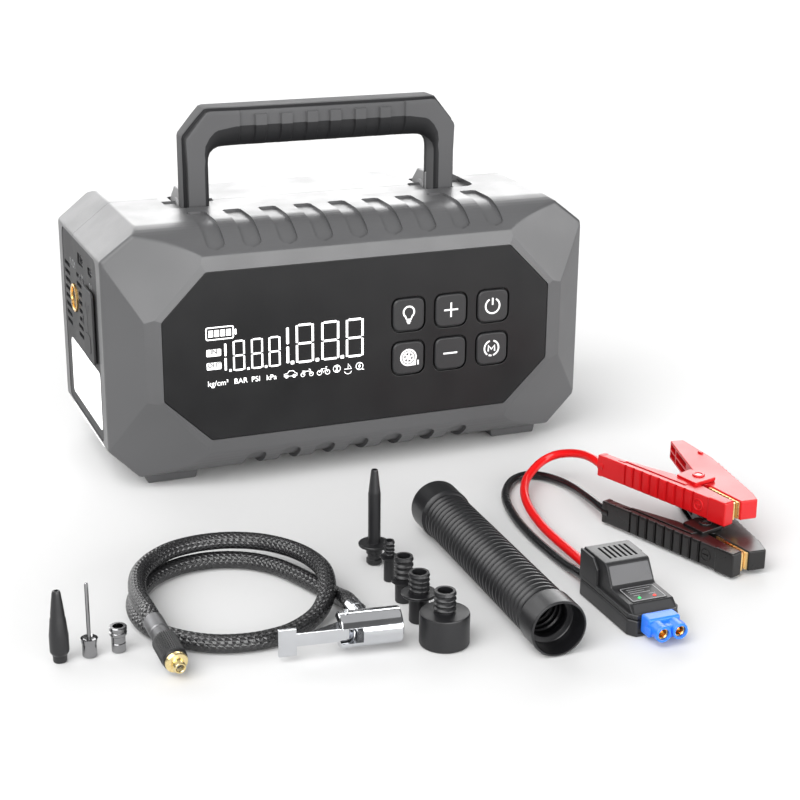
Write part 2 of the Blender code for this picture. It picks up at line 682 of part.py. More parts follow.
def make_sockets(x_out):
    """The two charging ports on one small board, and the jump socket."""
    usb_y, usb_z, usb_w, usb_h = USB_A
    c_y, c_z, c_w, c_h = USB_C
    module = box("usb_module", (x_out + 14.0, c_y - 8, usb_z - 10), (x_out + 15.6, usb_y + 12, usb_z + 8),
                 "steel")
    join(module, box("usb_a_can", (x_out + 1.2, usb_y - usb_w / 2, usb_z - usb_h / 2),
                     (x_out + 14.4, usb_y + usb_w / 2, usb_z + usb_h / 2)))
    join(module, box("usb_c_can", (x_out + 1.2, c_y - c_w / 2, c_z - c_h / 2),
                     (x_out + 14.4, c_y + c_w / 2, c_z + c_h / 2)))
    cut(module, box("usb_a_mouth", (x_out - 2, usb_y - usb_w / 2 + 0.4, usb_z - usb_h / 2 + 0.4),
                    (x_out + 11.0, usb_y + usb_w / 2 - 0.4, usb_z + usb_h / 2 - 0.4)))
    cut(module, box("usb_c_mouth", (x_out - 2, c_y - c_w / 2 + 0.4, c_z - c_h / 2 + 0.4),
                    (x_out + 9.0, c_y + c_w / 2 - 0.4, c_z + c_h / 2 - 0.4)))
    f0, f1, g0, g1 = FLAP
    socket = box("jump_socket", (x_out + 0.8, f0 + 4.4, g0 + 6.4), (x_out + 20.0, f1 - 3.4, g1 - 6.4),
                 "blue", bevel=1.0)
    middle = (f0 + f1) / 2 + 0.5
    for label, z in (("low", 85.5), ("high", 101.5)):
        cut(socket, rod("socket_bore_" + label, (x_out - 2, middle, z), (x_out + 15, middle, z), 4.4,
                        sides=20))


def make_right_side():
    """Plate with the blower's outlet, which takes the duct hose's cuff."""
    plate = plate_with_rim("side_panel_right", 1)
    x_out = HALF_WIDTH
    cup = rod("port_cup", (x_out - 0.3 - 18, 0, PORT_Z), (x_out - 1.2, 0, PORT_Z), PORT_RADIUS + 2.2, sides=32)
    bore = rod("port_bore", (x_out - 16, 0, PORT_Z), (x_out + 5, 0, PORT_Z), PORT_RADIUS, sides=32)
    throat = rod("port_throat", (x_out - 30, 0, PORT_Z), (x_out - 10, 0, PORT_Z), 10.5, sides=32)
    join(plate, cup)
    cut(plate, bore, throat)


def set_origin(obj, place):
    """Move the object's origin to a point in the unit's coordinates, keeping its shape."""
    goal = Vector(place) * MM
    obj.data.transform(Matrix.Translation(-goal) @ obj.matrix_basis)
    obj.matrix_basis = Matrix.Translation(goal)
    return obj


def make_handle():
    """Folding carry handle with its two heels and trunnions."""
    chamfer = 18.0
    outline = [(-LEG_OUT, RECESS_Z + 0.5), (-LEG_OUT, GRIP_TOP - chamfer), (-LEG_OUT + chamfer * 0.8, GRIP_TOP),
               (LEG_OUT - chamfer * 0.8, GRIP_TOP), (LEG_OUT, GRIP_TOP - chamfer), (LEG_OUT, RECESS_Z + 0.5),
               (LEG_IN, RECESS_Z + 0.5)]
    inner = rounded([(LEG_IN, RECESS_Z - 40), (LEG_IN, GRIP_LOW), (-LEG_IN, GRIP_LOW),
                     (-LEG_IN, RECESS_Z - 40)], 9.0, 4)
    inner = [point for point in inner if point[1] > RECESS_Z]
    outline = outline + inner + [(-LEG_IN, RECESS_Z + 0.5)]
    handle = prism("handle", outline, LEG_REAR - LEG_FRONT, front_view(LEG_REAR), "handle")
    set_origin(handle, (0, SEAM_Y, HINGE_Z))
    add_bevel(handle, 1.6, angle=30)
    for label, side in (("left", -1), ("right", 1)):
        heel = rod("heel_" + label, (side * LEG_IN, SEAM_Y, HINGE_Z), (side * LEG_OUT, SEAM_Y, HINGE_Z),
                   HEEL_RADIUS, sides=8)
        heel.matrix_basis = heel.matrix_basis @ Matrix.Rotation(math.radians(22.5), 4, "Z")
        pin = rod("trunnion_" + label, (side * (WELL_IN - 1.5), SEAM_Y, HINGE_Z),
                  (side * (TRUNNION_END - 1), SEAM_Y, HINGE_Z), TRUNNION_RADIUS, sides=16)
        join(handle, heel, pin)


# ---------------------------------------------------------------- unit: inside
def gear_outline(teeth, centre, phase):
    """Spur gear outline with generous backlash."""
    pitch = MODULE * teeth / 2
    tip = pitch + MODULE * 0.8
    root = pitch - MODULE * 1.15
    points = []
    for tooth in range(teeth):
        middle = 2 * math.pi * (tooth + phase) / teeth
        for radius, offset in ((root, -0.27), (tip, -0.12), (tip, 0.12), (root, 0.27)):
            angle = middle + 2 * math.pi * offset / teeth
            points.append((centre[0] + radius * math.cos(angle), centre[1] + radius * math.sin(angle)))
    return points


def make_compressor():
    motor = rod("compressor_motor", (GEAR_X + 8.0, MOTOR_Y, MOTOR_Z), (GEAR_X + 60.0, MOTOR_Y, MOTOR_Z), 18.0,
                "steel", sides=32)
    join(motor, rod("motor_nose", (GEAR_X + 5.5, MOTOR_Y, MOTOR_Z), (GEAR_X + 9, MOTOR_Y, MOTOR_Z), 6.0,
                    sides=20))
    pinion = prism("motor_pinion", gear_outline(PINION_TEETH, (MOTOR_Y, MOTOR_Z), 0.0), 5.0,
                   side_view(GEAR_X), "brass")
    set_origin(pinion, (GEAR_X, MOTOR_Y, MOTOR_Z))
    gear = prism("crank_gear", gear_outline(GEAR_TEETH, (MOTOR_Y, GEAR_Z), 0.5), 5.0, side_view(GEAR_X), "white")
    set_origin(gear, (GEAR_X, MOTOR_Y, GEAR_Z))
    join(gear, rod("crank_pin", (GEAR_X - 7, MOTOR_Y, GEAR_Z + CRANK_THROW),
                   (GEAR_X + 1, MOTOR_Y, GEAR_Z + CRANK_THROW), 2.0, sides=16),
         rod("gear_hub", (GEAR_X + 4, MOTOR_Y, GEAR_Z), (GEAR_X + 8, MOTOR_Y, GEAR_Z), 4.0, sides=16))
    x = GEAR_X - 4.0
    radius = 13.0
    profile = [(9.2, 26.0), (radius, 26.0)]
    for fin in range(3):
        base = 22.5 - fin * 8.0
        profile += [(radius, base), (radius - 2.4, base - 0.6), (radius - 2.4, base - 3.4), (radius, base - 4.0)]
    profile += [(radius, -2.0), (3.0, -2.0), (3.0, 1.5), (9.2, 1.5)]
    matrix = axis_matrix((1, 0, 0), (0, 0, -1), (x, MOTOR_Y - 56.0, GEAR_Z))
    turned("compressor_cylinder", profile, matrix, "steel", sides=20, closed=True)
    piston = rod("piston", (x, MOTOR_Y - 44.0, GEAR_Z), (x, MOTOR_Y - 36.0, GEAR_Z), 9.0, "steel", sides=24)
    join(piston, rod("piston_stem", (x, MOTOR_Y - 37.0, GEAR_Z), (x, MOTOR_Y - 20.0, GEAR_Z), 3.0, sides=12))
    set_origin(piston, (x, MOTOR_Y - 40.0, GEAR_Z))


def make_blower():
    rod("blower_motor", (74.0, 0, PORT_Z), (98.0, 0, PORT_Z), 14.0, "steel", sides=24)
    impeller = rod("blower_impeller", (99.0, 0, PORT_Z), (101.0, 0, PORT_Z), 24.0, "black", sides=24)
    set_origin(impeller, (99.0, 0, PORT_Z))
    join(impeller, rod("impeller_hub", (100.5, 0, PORT_Z), (114.0, 0, PORT_Z), 6.0, sides=16))
    for index in range(8):
        angle = 2 * math.pi * index / 8
        blade = box("blade_%d" % index, (100.5, 4.0, -0.7), (114.0, 23.0, 0.7))
        blade.matrix_basis = (Matrix.Translation((0, 0, PORT_Z * MM)) @ Matrix.Rotation(angle, 4, "X")
                              @ blade.matrix_basis)
        join(impeller, blade)


def make_inside():
    box("battery_pack", (-62.0, -4.0, 12.0), (62.0, 62.0, 62.0), "cell", bevel=2.0)
    make_compressor()
    make_blower()


# ---------------------------------------------------------------- jump lead
def smart_box():
    """Lead's protection box: tub, humped cover, label plate and blue plug."""
    base = prism("smart_box_base",
                 [(44.0, -326.0), (69.5, -326.0), (71.0, -324.0), (71.0, -273.0), (69.5, -271.0),
                  (44.0, -271.0), (42.5, -273.0), (42.5, -324.0)], 9.0, plan_view(0.0), "black")
    add_bevel(base, 0.8, angle=60)
    for label, x, z in (("red", RED_ROUTE[0][0], RED_ROUTE[0][2]), ("black", BLACK_ROUTE[0][0], BLACK_ROUTE[0][2])):
        join(base, rod("gland_" + label, (x, -274.0, z), (x, -270.7, z), 3.2, sides=16))
    side = [(-325.0, 9.3), (-325.0, 12.0), (-321.5, 17.2), (-304.0, 18.2), (-291.0, 26.0), (-272.5, 26.0),
            (-271.6, 9.3)]
    cover = prism("smart_box_cover", side, 25.6, side_view(43.9), "black")
    add_bevel(cover, 1.8, angle=50)
    for index in range(6):
        x = 49.6 + index * 2.9
        cut(cover, box("slot_%d" % index, (x, -289.0, 22.5), (x + 1.2, -276.0, 30.0)))
    label = box("label_plate", (-8.6, -8.0, 0.0), (8.6, 8.0, 0.7), "panel")
    tilt = math.atan2(18.2 - 17.2, 17.5)
    label.matrix_basis = (axis_matrix((1, 0, 0), (0, math.cos(tilt), math.sin(tilt)), (56.7, -312.8, 18.0))
                          @ label.matrix_basis)
    make_plug()


def make_plug():
    """Blue two-barrel plug on the box's front with its brass contacts."""
    plug = box("ec5_plug", (47.6, -333.0, 2.6), (65.4, -326.3, 12.4), "blue", bevel=1.2)
    for label, x in (("left", 51.9), ("right", 61.1)):
        join(plug, rod("barrel_" + label, (x, -341.0, 7.5), (x, -332.0, 7.5), 4.1, sides=20))
        cut(plug, rod("barrel_bore_" + label, (x, -345.0, 7.5), (x, -330.0, 7.5), 3.0, sides=20))
        contact = turned("plug_contact_" + label,
                         [(2.7, 9.6), (2.7, 0.0), (1.2, 0.0), (1.2, 1.0), (2.0, 1.4), (2.0, 9.6)],
                         along((x, -330.3, 7.5), (x, -341.0, 7.5)), "brass", sides=20, closed=True)
        contact.name = "plug_contact_" + label


def clamp_matrix(place):
    turn = Matrix.Rotation(CLAMP_ANGLE, 4, "Z")
    return Matrix.Translation(Vector(place) * MM) @ turn


ARM_OUTLINE = [(0.0, 0.0), (93.0, 0.0), (93.0, 7.0), (66.0, 11.2), (45.0, 11.4), (16.0, 5.8), (0.0, 5.4)]
LEVER_OUTLINE = [(8.8, 51.0), (47.0, 26.3), (51.0, 20.0), (55.4, 14.6), (59.0, 13.0), (63.0, 13.6),
                 (67.0, 16.0), (94.5, 11.2), (98.0, 20.5), (90.0, 26.0), (42.0, 49.3), (12.4, 58.0)]
EAR_OUTLINE = [(50.5, 9.0), (66.0, 7.2), (67.0, 22.5), (63.5, 24.0), (50.0, 21.0)]


def make_clamp(colour, place):
    """One battery clamp lying on its side: fixed arm, sprung lever, pin and jaw strips."""
    base = clamp_matrix(place)

    def lifted(z):
        return base @ Matrix.Translation((0, 0, z * MM))

    arm = prism(colour + "_clamp_arm", ARM_OUTLINE, 12.4, lifted(1.8), colour)
    join(arm, prism(colour + "_ear_top", EAR_OUTLINE, 2.2, lifted(13.8), None),
         prism(colour + "_ear_bottom", EAR_OUTLINE, 2.2, lifted(0.0), None))
    pivot_u, pivot_v = CLAMP_PIVOT
    hole = rod(colour + "_pin_hole", (pivot_u, pivot_v, -5), (pivot_u, pivot_v, 25), 2.3, sides=20)
    hole.matrix_basis = base @ hole.matrix_basis
    cut(arm, hole)
    lever = prism(colour + "_clamp_lever", LEVER_OUTLINE, 11.0, lifted(2.5), colour)
    pivot = base @ Vector((pivot_u * MM, pivot_v * MM, 0.0))
    set_origin(lever, pivot / MM)
    cut(lever, hole)
    pin = rod(colour + "_clamp_pin", (pivot_u, pivot_v, 0.2), (pivot_u, pivot_v, 15.8), 2.0, "steel", sides=20)
    pin.matrix_basis = base @ pin.matrix_basis
    strip = [(68.0, 11.2), (92.0, 7.5), (92.2, 8.6), (68.2, 12.3)]
    prism(colour + "_jaw_arm", strip, 9.0, lifted(3.4), "copper")
    strip = [(69.0, 14.3), (93.0, 10.1), (93.1, 11.0), (69.2, 15.2)]
    prism(colour + "_jaw_lever", strip, 9.0, lifted(3.4), "copper")


# ---------------------------------------------------------------- air hose
def ring_stack(name, rings, matrix, look, sides=24, bore=None):
    """Turned piece from (radius, height) steps, with an optional bore (radius, depth)."""
    top = rings[-1][1]
    outer = [(radius, height) for radius, height in reversed(rings)]
    if bore is None:
        profile = [(0.0, top)] + outer + [(0.0, rings[0][1])]
        return turned(name, profile, matrix, look, sides)
    radius, depth = bore
    if depth >= top - rings[0][1]:
        profile = [(radius, top)] + outer + [(radius, rings[0][1])]
        return turned(name, profile, matrix, look, sides, closed=True)
    profile = [(0.0, top - depth), (radius, top - depth), (radius, top)] + outer + [(0.0, rings[0][1])]
    return turned(name, profile, matrix, look, sides)


def make_hose():
    cord("air_hose", HOSE_ROUTE, HOSE_DIAMETER, 20.0, "black", resolution=3)
    line = along(FITTING_START, FITTING_END)
    ring_stack("hose_ferrule", [(4.8, 0.0), (4.8, 15.4)], line, "steel", bore=None)
    ring_stack("knurled_nut", [(5.6, 15.8), (6.3, 17.0), (6.3, 31.5), (5.8, 33.0)], line, "black",
               bore=(2.6, 40.0))
    ring_stack("hose_nipple", [(2.3, 16.0), (2.3, 33.3), (5.2, 33.3), (5.2, 35.0), (3.0, 35.3), (3.0, 39.6)],
               line, "brass", sides=24)
    make_chuck()


def make_chuck():
    """Lock-on chuck: chromed body with its hose inlet and pin, and the thumb lever."""
    line = along(CHUCK_LEFT, CHUCK_RIGHT)
    length = (CHUCK_RIGHT - CHUCK_LEFT).length
    body = ring_stack("chuck_body", [(8.2, 0.0), (8.8, 1.0), (8.8, length - 1.0), (8.2, length)], line, "chrome",
                      sides=28, bore=(4.2, 16.0))
    end = Vector(HOSE_ROUTE[-1])
    inlet = rod("chuck_inlet", end + Vector((0.0, -1.2, 0.0)), (end.x, end.y - 16.0, 11.2), 4.0, sides=16)
    join(body, inlet)
    axis = (CHUCK_RIGHT - CHUCK_LEFT).normalized()
    flat = axis_matrix(axis, (-axis.y, axis.x, 0), CHUCK_LEFT)
    slot = box("chuck_slot", (-5.0, -12.0, -3.8), (10.5, 12.0, 3.8))
    slot.matrix_basis = flat @ slot.matrix_basis
    pin = rod("chuck_pin", (CHUCK_PIN, 0, -9.9), (CHUCK_PIN, 0, 10.6), 1.0, sides=12)
    pin.matrix_basis = flat @ pin.matrix_basis
    cut(body, slot)
    join(body, pin)
    web = [(-29.5, -5.6), (4.0, -5.6), (7.0, -2.8), (7.4, 0.0), (6.4, 2.4), (4.0, 3.4), (0.5, 2.6), (-14.0, -4.0),
           (-29.5, -4.0)]
    lever = prism("chuck_lever", web, 6.6, flat @ Matrix.Translation((0, 0, -3.3 * MM)), "chrome")
    pivot = CHUCK_LEFT + axis * CHUCK_PIN
    set_origin(lever, pivot)
    thumb = box("lever_thumb", (-29.8, -5.8, -8.2), (-21.0, -3.8, 6.2))
    hole = rod("lever_hole", (CHUCK_PIN, 0, -9.0), (CHUCK_PIN, 0, 9.0), 1.35, sides=16)
    for tool in (thumb, hole):
        tool.matrix_basis = flat @ tool.matrix_basis
    join(lever, thumb)
    cut(lever, hole)


# ---------------------------------------------------------------- loose nozzles and duct
def standing(x, y):
    return Matrix.Translation((x * MM, y * MM, 0.0))


def ridged(low, high, radius, count, depth):
    """Steps of a ribbed spigot between two heights."""
    rings = []
    pitch = (high - low) / count
    for index in range(count):
        base = low + index * pitch
        rings += [(radius - depth, base + pitch * 0.05), (radius - depth, base + pitch * 0.5),
                  (radius, base + pitch * 0.75)]
    rings.append((radius, high))
    return rings


def make_nozzles():
    ring_stack("cone_nozzle", [(3.3, 0.0), (3.5, 3.6), (4.6, 4.8), (4.6, 14.0), (3.6, 24.0), (2.1, 35.0), (1.6, 36.0)],
               standing(-217.4, -250.0), "black", bore=(1.0, 30.0))
    ring_stack("ball_needle", [(3.5, 0.0), (3.5, 7.4), (4.1, 8.6), (4.1, 9.2), (1.4, 9.2), (0.95, 10.5), (0.95, 36.6),
                               (0.5, 37.6)], standing(-203.4, -249.8), "steel")
    ring_stack("valve_adapter", [(3.4, 0.0), (3.4, 8.0), (4.2, 8.6), (4.2, 10.0), (3.9, 10.4), (4.2, 10.9), (4.2, 13.0)],
               standing(-189.6, -249.8), "chrome", bore=(2.6, 20.0))
    ring_stack("long_nozzle", [(3.6, 0.0), (4.2, 1.0), (4.2, 3.2), (3.4, 3.8), (3.4, 6.0), (4.3, 6.6), (4.3, 8.8),
                               (3.6, 9.2), (3.6, 10.6), (8.4, 10.6), (8.4, 12.0), (3.4, 12.2), (3.3, 40.5), (1.8, 53.2)],
               standing(-41.6, -201.4), "black", bore=(1.2, 30.0))
    adapters = (
        ("adapter_thin", -42.0, -223.7, [(2.8, 0.0), (2.8, 12.6), (4.6, 12.8), (4.6, 14.0)], 2.9, 22.5, 1.8),
        ("adapter_mid", -44.1, -248.5, [(4.2, 0.0), (4.3, 10.4), (6.2, 10.8), (6.2, 12.0)], 5.0, 24.8, 3.4),
        ("adapter_flanged", -45.3, -271.5, [(4.9, 0.0), (4.9, 13.8), (8.8, 14.2), (8.8, 15.6)], 5.3, 26.2, 3.7),
        ("adapter_large", -42.8, -297.4, [(11.6, 0.0), (12.2, 0.8), (12.2, 15.9), (11.6, 16.6)], 5.5, 27.6, 3.8))
    for name, x, y, base, radius, top, bore in adapters:
        rings = base + ridged(base[-1][1], top, radius, 3, 0.7)
        ring_stack(name, rings, standing(x, y), "black", sides=16, bore=(bore, 80.0))


def make_duct():
    """Short corrugated duct with a plain cuff at each end, open right through."""
    length = (Vector(DUCT_FAR) - Vector(DUCT_NEAR)).length
    rings = [(14.2, 0.0), (14.3, 14.0), (13.0, 14.6), (13.0, length - 17.6), (14.3, length - 17.0),
             (14.2, length)]
    profile = [(radius, height) for radius, height in reversed(rings)]
    profile = [(13.0, length)] + profile + [(13.0, 0.0), (12.9, 12.0), (10.6, 12.6), (10.6, length - 12.6),
                                            (12.9, length - 12.0)]
    turned("duct_hose", profile, along(DUCT_NEAR, DUCT_FAR), "black", sides=28, closed=True)


def main():
    start_scene()
    front = make_shell("front_shell", True)
    front_details(front)
    make_shell("rear_shell", False)
    make_panel_and_keys()
    make_left_side()
    make_right_side()
    make_handle()
    make_inside()
    smart_box()
    cord("red_cable", RED_ROUTE, CABLE_DIAMETER, 12.0, "red")
    cord("black_cable", BLACK_ROUTE, CABLE_DIAMETER, 12.0, "black")
    make_clamp("red", RED_CLAMP_AT)
    make_clamp("black", BLACK_CLAMP_AT)
    make_hose()
    make_nozzles()
    make_duct()


main()
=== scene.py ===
"""Looks of the jump starter pack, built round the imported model.

Pieces are modelled in millimetres in the unit's own coordinates (x = 0, y = 0 at the
unit's middle, front towards -Y) and moved into the row frame when they are finished.
"""
import math

import bmesh
import bpy
import numpy as np
from mathutils import Matrix, Vector


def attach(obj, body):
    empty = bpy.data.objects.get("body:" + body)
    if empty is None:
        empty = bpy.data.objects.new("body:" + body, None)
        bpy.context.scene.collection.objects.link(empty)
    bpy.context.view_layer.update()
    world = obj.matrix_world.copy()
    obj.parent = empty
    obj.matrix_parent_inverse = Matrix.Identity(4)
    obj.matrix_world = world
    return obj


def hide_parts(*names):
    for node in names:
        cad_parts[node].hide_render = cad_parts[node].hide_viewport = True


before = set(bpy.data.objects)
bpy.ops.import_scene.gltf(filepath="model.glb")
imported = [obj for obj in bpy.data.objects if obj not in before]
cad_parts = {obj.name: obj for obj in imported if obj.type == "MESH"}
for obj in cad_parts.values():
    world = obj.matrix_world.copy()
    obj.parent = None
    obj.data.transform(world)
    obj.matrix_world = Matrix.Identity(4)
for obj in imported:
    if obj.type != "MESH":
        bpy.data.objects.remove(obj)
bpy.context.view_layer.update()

MM = 0.001
ROW = Matrix.Translation((0.02788, 0.133, 0.0)) @ Matrix.Scale(MM, 4)
GAP = 0.3

# housing
HALF_WIDTH = 149.9
FACE_Y = -75.0
TOP_Z = 155.0
BASE_Z = 5.0
MIDDLE_Z = 80.0
SHOULDER_Y = -58.0
ROLL_Y = -45.0
RIDGE_HALF = 129.5
RIDGE_LOW, RIDGE_HIGH = 58.6, 104.1
RIDGE_TOP_X, RIDGE_TOP_Z = 94.9, 140.0
RIDGE_BOTTOM_X, RIDGE_BOTTOM_Z = 94.0, 23.0
SIDE_LOW, SIDE_HIGH = 25.4, 137.8
ROOF_EDGE_X, ROOF_EDGE_Z = 130.5, 152.7
BASE_EDGE_X, BASE_EDGE_Z = 131.4, 6.5
WALL = 3.4
SEAM_Y = 13.5
HINGE_Z = 150.0
RECESS_Z = 152.0
PANEL_Y = -74.6
BAND_TILT = math.radians(12.0)
RIDGE_Y = -73.2
EDGE_ROLL = 3.4
PANEL = (120.0, 58.1, 104.7, 93.9, 131.3, 92.6, 31.6)
ROLL_STEPS = 12
GROOVE_PITCH = 21.5
GROOVE_WIDTH = 11.0
GROOVE_SHARE = 0.9
GROOVE_STEPS = 26
FOOT_X = 111.2
FOOT_DEPTH = 22.5

# handle
LEG_OUT, LEG_IN = 86.6, 72.0
LEG_FRONT, LEG_REAR = -9.7, 10.0
GRIP_LOW, GRIP_TOP = 186.6, 211.0

# keys: name, sign, x, z
KEY_HALF = 10.0
KEY_GAP = 0.9
KEYS = (("button_light", "bulb", 28.8, 94.6), ("button_plus", "plus", 56.0, 94.6),
        ("button_power", "power", 83.5, 94.6), ("button_fan", "fan", 28.8, 67.8),
        ("button_minus", "minus", 56.0, 67.8), ("button_mode", "mode", 83.5, 67.8))

# display: words, left edge, letter size
UNIT_NAMES = (("kg/cm\u00b2", -94.6, 4.6), ("BAR", -79.0, 4.5), ("PSI", -68.6, 4.5), ("kPa", -59.6, 4.5))

# left side
LENS = (-43.8, 35.3, 33.4, 68.7)
FLAP = (-40.0, -14.5, 72.0, 115.0)
OUTLET_Y, OUTLET_Z = 17.0, 98.0

# right side
BLOWER_Z = 84.0

# kit
CLAMP_ANGLE = math.radians(-72.3)
CLAMPS = {"black": (95.6, -198.8, 0.0), "red": (106.5, -172.0, 16.3)}
CLAMP_PIVOT = (59.0, 17.4)
CABLE_DIAMETER = 5.0
HOSE_DIAMETER = 9.0
BRAID_STARTS = 10
BRAID_PITCH = 3.4
BRAID_RISE = 0.18
DUCT_NEAR = (1.6, -330.2, 14.5)
DUCT_FAR = (6.2, -171.0, 14.5)
FITTING_START = (-173.1, -251.5, 13.5)
FITTING_END = (-170.4, -291.0, 6.9)
CHUCK_LEFT = Vector((-93.2, -287.7, 11.2))
CHUCK_RIGHT = Vector((-63.5, -291.7, 11.2))
CHUCK_PIN = 4.0

# camera
CAMERA_PLACE = (-0.31002, -0.8300, 0.3777)
CAMERA_AZIMUTH = math.radians(-22.158)
CAMERA_ELEVATION = math.radians(19.305)
CAMERA_ROLL = math.radians(0.549)
CAMERA_LENS = 76.29

# cord routes: the cables run from the lead's box to their clamps, the hose from its ferrule to the chuck
RED_ROUTE = (
    (56.6, -270.2, 5.4), (56.3, -258.0, 5.6), (56.3, -235.4, 5.8), (56.7, -217.5, 5.6),
    (58.3, -198.7, 5.2), (62.1, -176.0, 5.5), (67.7, -157.5, 6.5), (76.1, -142.1, 7.8),
    (85.2, -132.7, 9.6), (93.9, -127.4, 12.0), (101.1, -129.0, 15.4), (105.6, -137.2, 19.0),
    (108.2, -149.5, 22.4), (108.6, -161.5, 24.2), (108.8, -170.1, 24.3), (111.2, -177.7, 24.3))
BLACK_ROUTE = (
    (49.4, -270.2, 5.4), (49.3, -258.1, 4.6), (49.0, -246.9, 3.4), (48.8, -226.7, 2.8),
    (49.2, -203.5, 2.7), (51.6, -179.9, 2.7), (57.1, -156.2, 2.7), (64.3, -140.5, 2.7),
    (74.8, -127.6, 2.7), (86.2, -123.4, 2.7), (95.2, -129.7, 2.8), (100.2, -142.7, 3.4),
    (101.2, -155.0, 4.4), (100.3, -168.0, 5.8), (98.6, -184.0, 7.4), (97.9, -196.9, 8.0),
    (100.3, -204.5, 8.0))
HOSE_ROUTE = (
    (-173.1, -250.8, 13.6), (-173.6, -243.2, 14.8), (-173.2, -222.7, 14.1),
    (-168.0, -201.5, 13.8), (-159.2, -187.8, 13.8), (-147.2, -178.2, 13.8),
    (-135.0, -174.2, 13.8), (-122.1, -173.8, 13.8), (-109.8, -176.8, 13.8),
    (-96.9, -184.6, 13.8), (-86.3, -197.6, 13.8), (-80.5, -213.2, 13.9),
    (-79.6, -230.4, 13.8), (-84.5, -247.5, 11.0), (-94.0, -260.0, 6.8),
    (-108.0, -268.2, 4.7), (-121.0, -271.9, 4.6), (-134.0, -271.9, 4.6),
    (-147.4, -268.0, 4.6), (-159.0, -260.0, 4.6), (-168.6, -248.5, 4.6),
    (-174.0, -233.0, 4.6), (-173.6, -216.0, 4.6), (-167.4, -200.0, 4.6),
    (-156.5, -186.6, 4.6), (-143.1, -178.9, 4.6), (-129.3, -176.6, 4.6),
    (-115.6, -179.0, 4.6), (-103.0, -186.2, 4.6), (-93.4, -197.6, 4.6),
    (-86.6, -212.0, 4.6), (-81.5, -226.0, 4.6), (-77.0, -240.0, 4.8),
    (-76.6, -253.5, 8.4), (-78.2, -268.3, 11.1))


# ---------------------------------------------------------------- camera and light
def make_camera():
    """Camera at the photo's place, angle and focal length."""
    data = bpy.data.cameras.new("camera")
    data.sensor_width = 36.0
    data.lens = CAMERA_LENS
    data.clip_start = 0.05
    data.clip_end = 40.0
    camera = link("camera", data)
    level = math.cos(CAMERA_ELEVATION)
    back = Vector((math.sin(CAMERA_AZIMUTH) * level, -math.cos(CAMERA_AZIMUTH) * level,
                   math.sin(CAMERA_ELEVATION)))
    right = Vector((math.cos(CAMERA_AZIMUTH), math.sin(CAMERA_AZIMUTH), 0.0))
    up = back.cross(right)
    turn = Matrix((right, up, back)).transposed().to_4x4() @ Matrix.Rotation(CAMERA_ROLL, 4, "Z")
    camera.matrix_world = Matrix.Translation(CAMERA_PLACE) @ turn
    bpy.context.scene.camera = camera


# name, direction towards the lamp, irradiance, full angle in degrees
LAMPS = (("key", (-0.6, -0.4, 0.69), 3.7, 60.0), ("front_left", (-0.16, -0.97, 0.2), 1.3, 30.0),
         ("front", (0.25, -0.95, 0.2), 1.2, 30.0), ("front_right", (0.62, -0.76, 0.18), 1.0, 30.0),
         ("right", (0.86, -0.48, 0.14), 0.8, 30.0), ("back", (0.36, 0.87, 0.36), 2.0, 44.0),
         ("back_left", (-0.36, 0.87, 0.36), 1.5, 44.0), ("top", (-0.2, 0.15, 1.0), 0.6, 80.0))


def make_studio():
    """Pale floor, soft suns and a dim white surround."""
    scene = bpy.context.scene
    scene.view_settings.view_transform = "Standard"
    world = bpy.data.worlds.new("studio")
    scene.world = world
    world.use_nodes = True
    background = world.node_tree.nodes["Background"]
    background.inputs["Color"].default_value = (1.0, 1.0, 1.0, 1.0)
    background.inputs["Strength"].default_value = 0.16
    bm = bmesh.new()
    bmesh.ops.create_grid(bm, x_segments=1, y_segments=1, size=12.0)
    floor = from_bmesh("floor", bm)
    floor.location = (0.0, 0.0, -0.0002)
    paint = Look("floor", (0.61, 0.61, 0.61), 0.9, specular=0.05)
    paint.mottle(3.0, 0.004)
    floor.data.materials.append(paint.material)
    for name, direction, strength, angle in LAMPS:
        data = bpy.data.lights.new(name, "SUN")
        data.energy = strength
        data.angle = math.radians(angle)
        lamp = link(name, data)
        lamp.rotation_euler = Vector(direction).to_track_quat("Z", "Y").to_euler()


# ---------------------------------------------------------------- mesh helpers
def link(name, data):
    """New object in the scene with this mesh, curve, lamp or camera."""
    obj = bpy.data.objects.new(name, data)
    bpy.context.scene.collection.objects.link(obj)
    return obj


def from_bmesh(name, bm):
    """New object from a bmesh, with its faces turned outwards."""
    bmesh.ops.recalc_face_normals(bm, faces=bm.faces)
    if bm.calc_volume(signed=True) < 0.0:
        bmesh.ops.reverse_faces(bm, faces=bm.faces)
    mesh = bpy.data.meshes.new(name)
    bm.to_mesh(mesh)
    bm.free()
    return link(name, mesh)


def bake(obj):
    """Replace the object's data with the mesh that its modifiers make."""
    graph = bpy.context.evaluated_depsgraph_get()
    mesh = bpy.data.meshes.new_from_object(obj.evaluated_get(graph))
    mesh.name = obj.name
    obj.modifiers.clear()
    obj.data = mesh
    return obj


def as_mesh(obj):
    """Turn a curve or text object into a mesh object of the same name, in place."""
    name = obj.name
    graph = bpy.context.evaluated_depsgraph_get()
    mesh = bpy.data.meshes.new_from_object(obj.evaluated_get(graph))
    mesh.transform(obj.matrix_basis)
    bpy.data.objects.remove(obj, do_unlink=True)
    return link(name, mesh)


def frame_at(x_axis, y_axis, origin):
    """Matrix with local X and Y along two directions."""
    x_dir = Vector(x_axis).normalized()
    z_dir = x_dir.cross(Vector(y_axis)).normalized()
    y_dir = z_dir.cross(x_dir)
    return Matrix.Translation(Vector(origin)) @ Matrix((x_dir, y_dir, z_dir)).transposed().to_4x4()


def along(start, end):
    """Matrix at start with local Z towards end."""
    direction = Vector(end) - Vector(start)
    return Matrix.Translation(Vector(start)) @ direction.to_track_quat("Z", "Y").to_matrix().to_4x4()


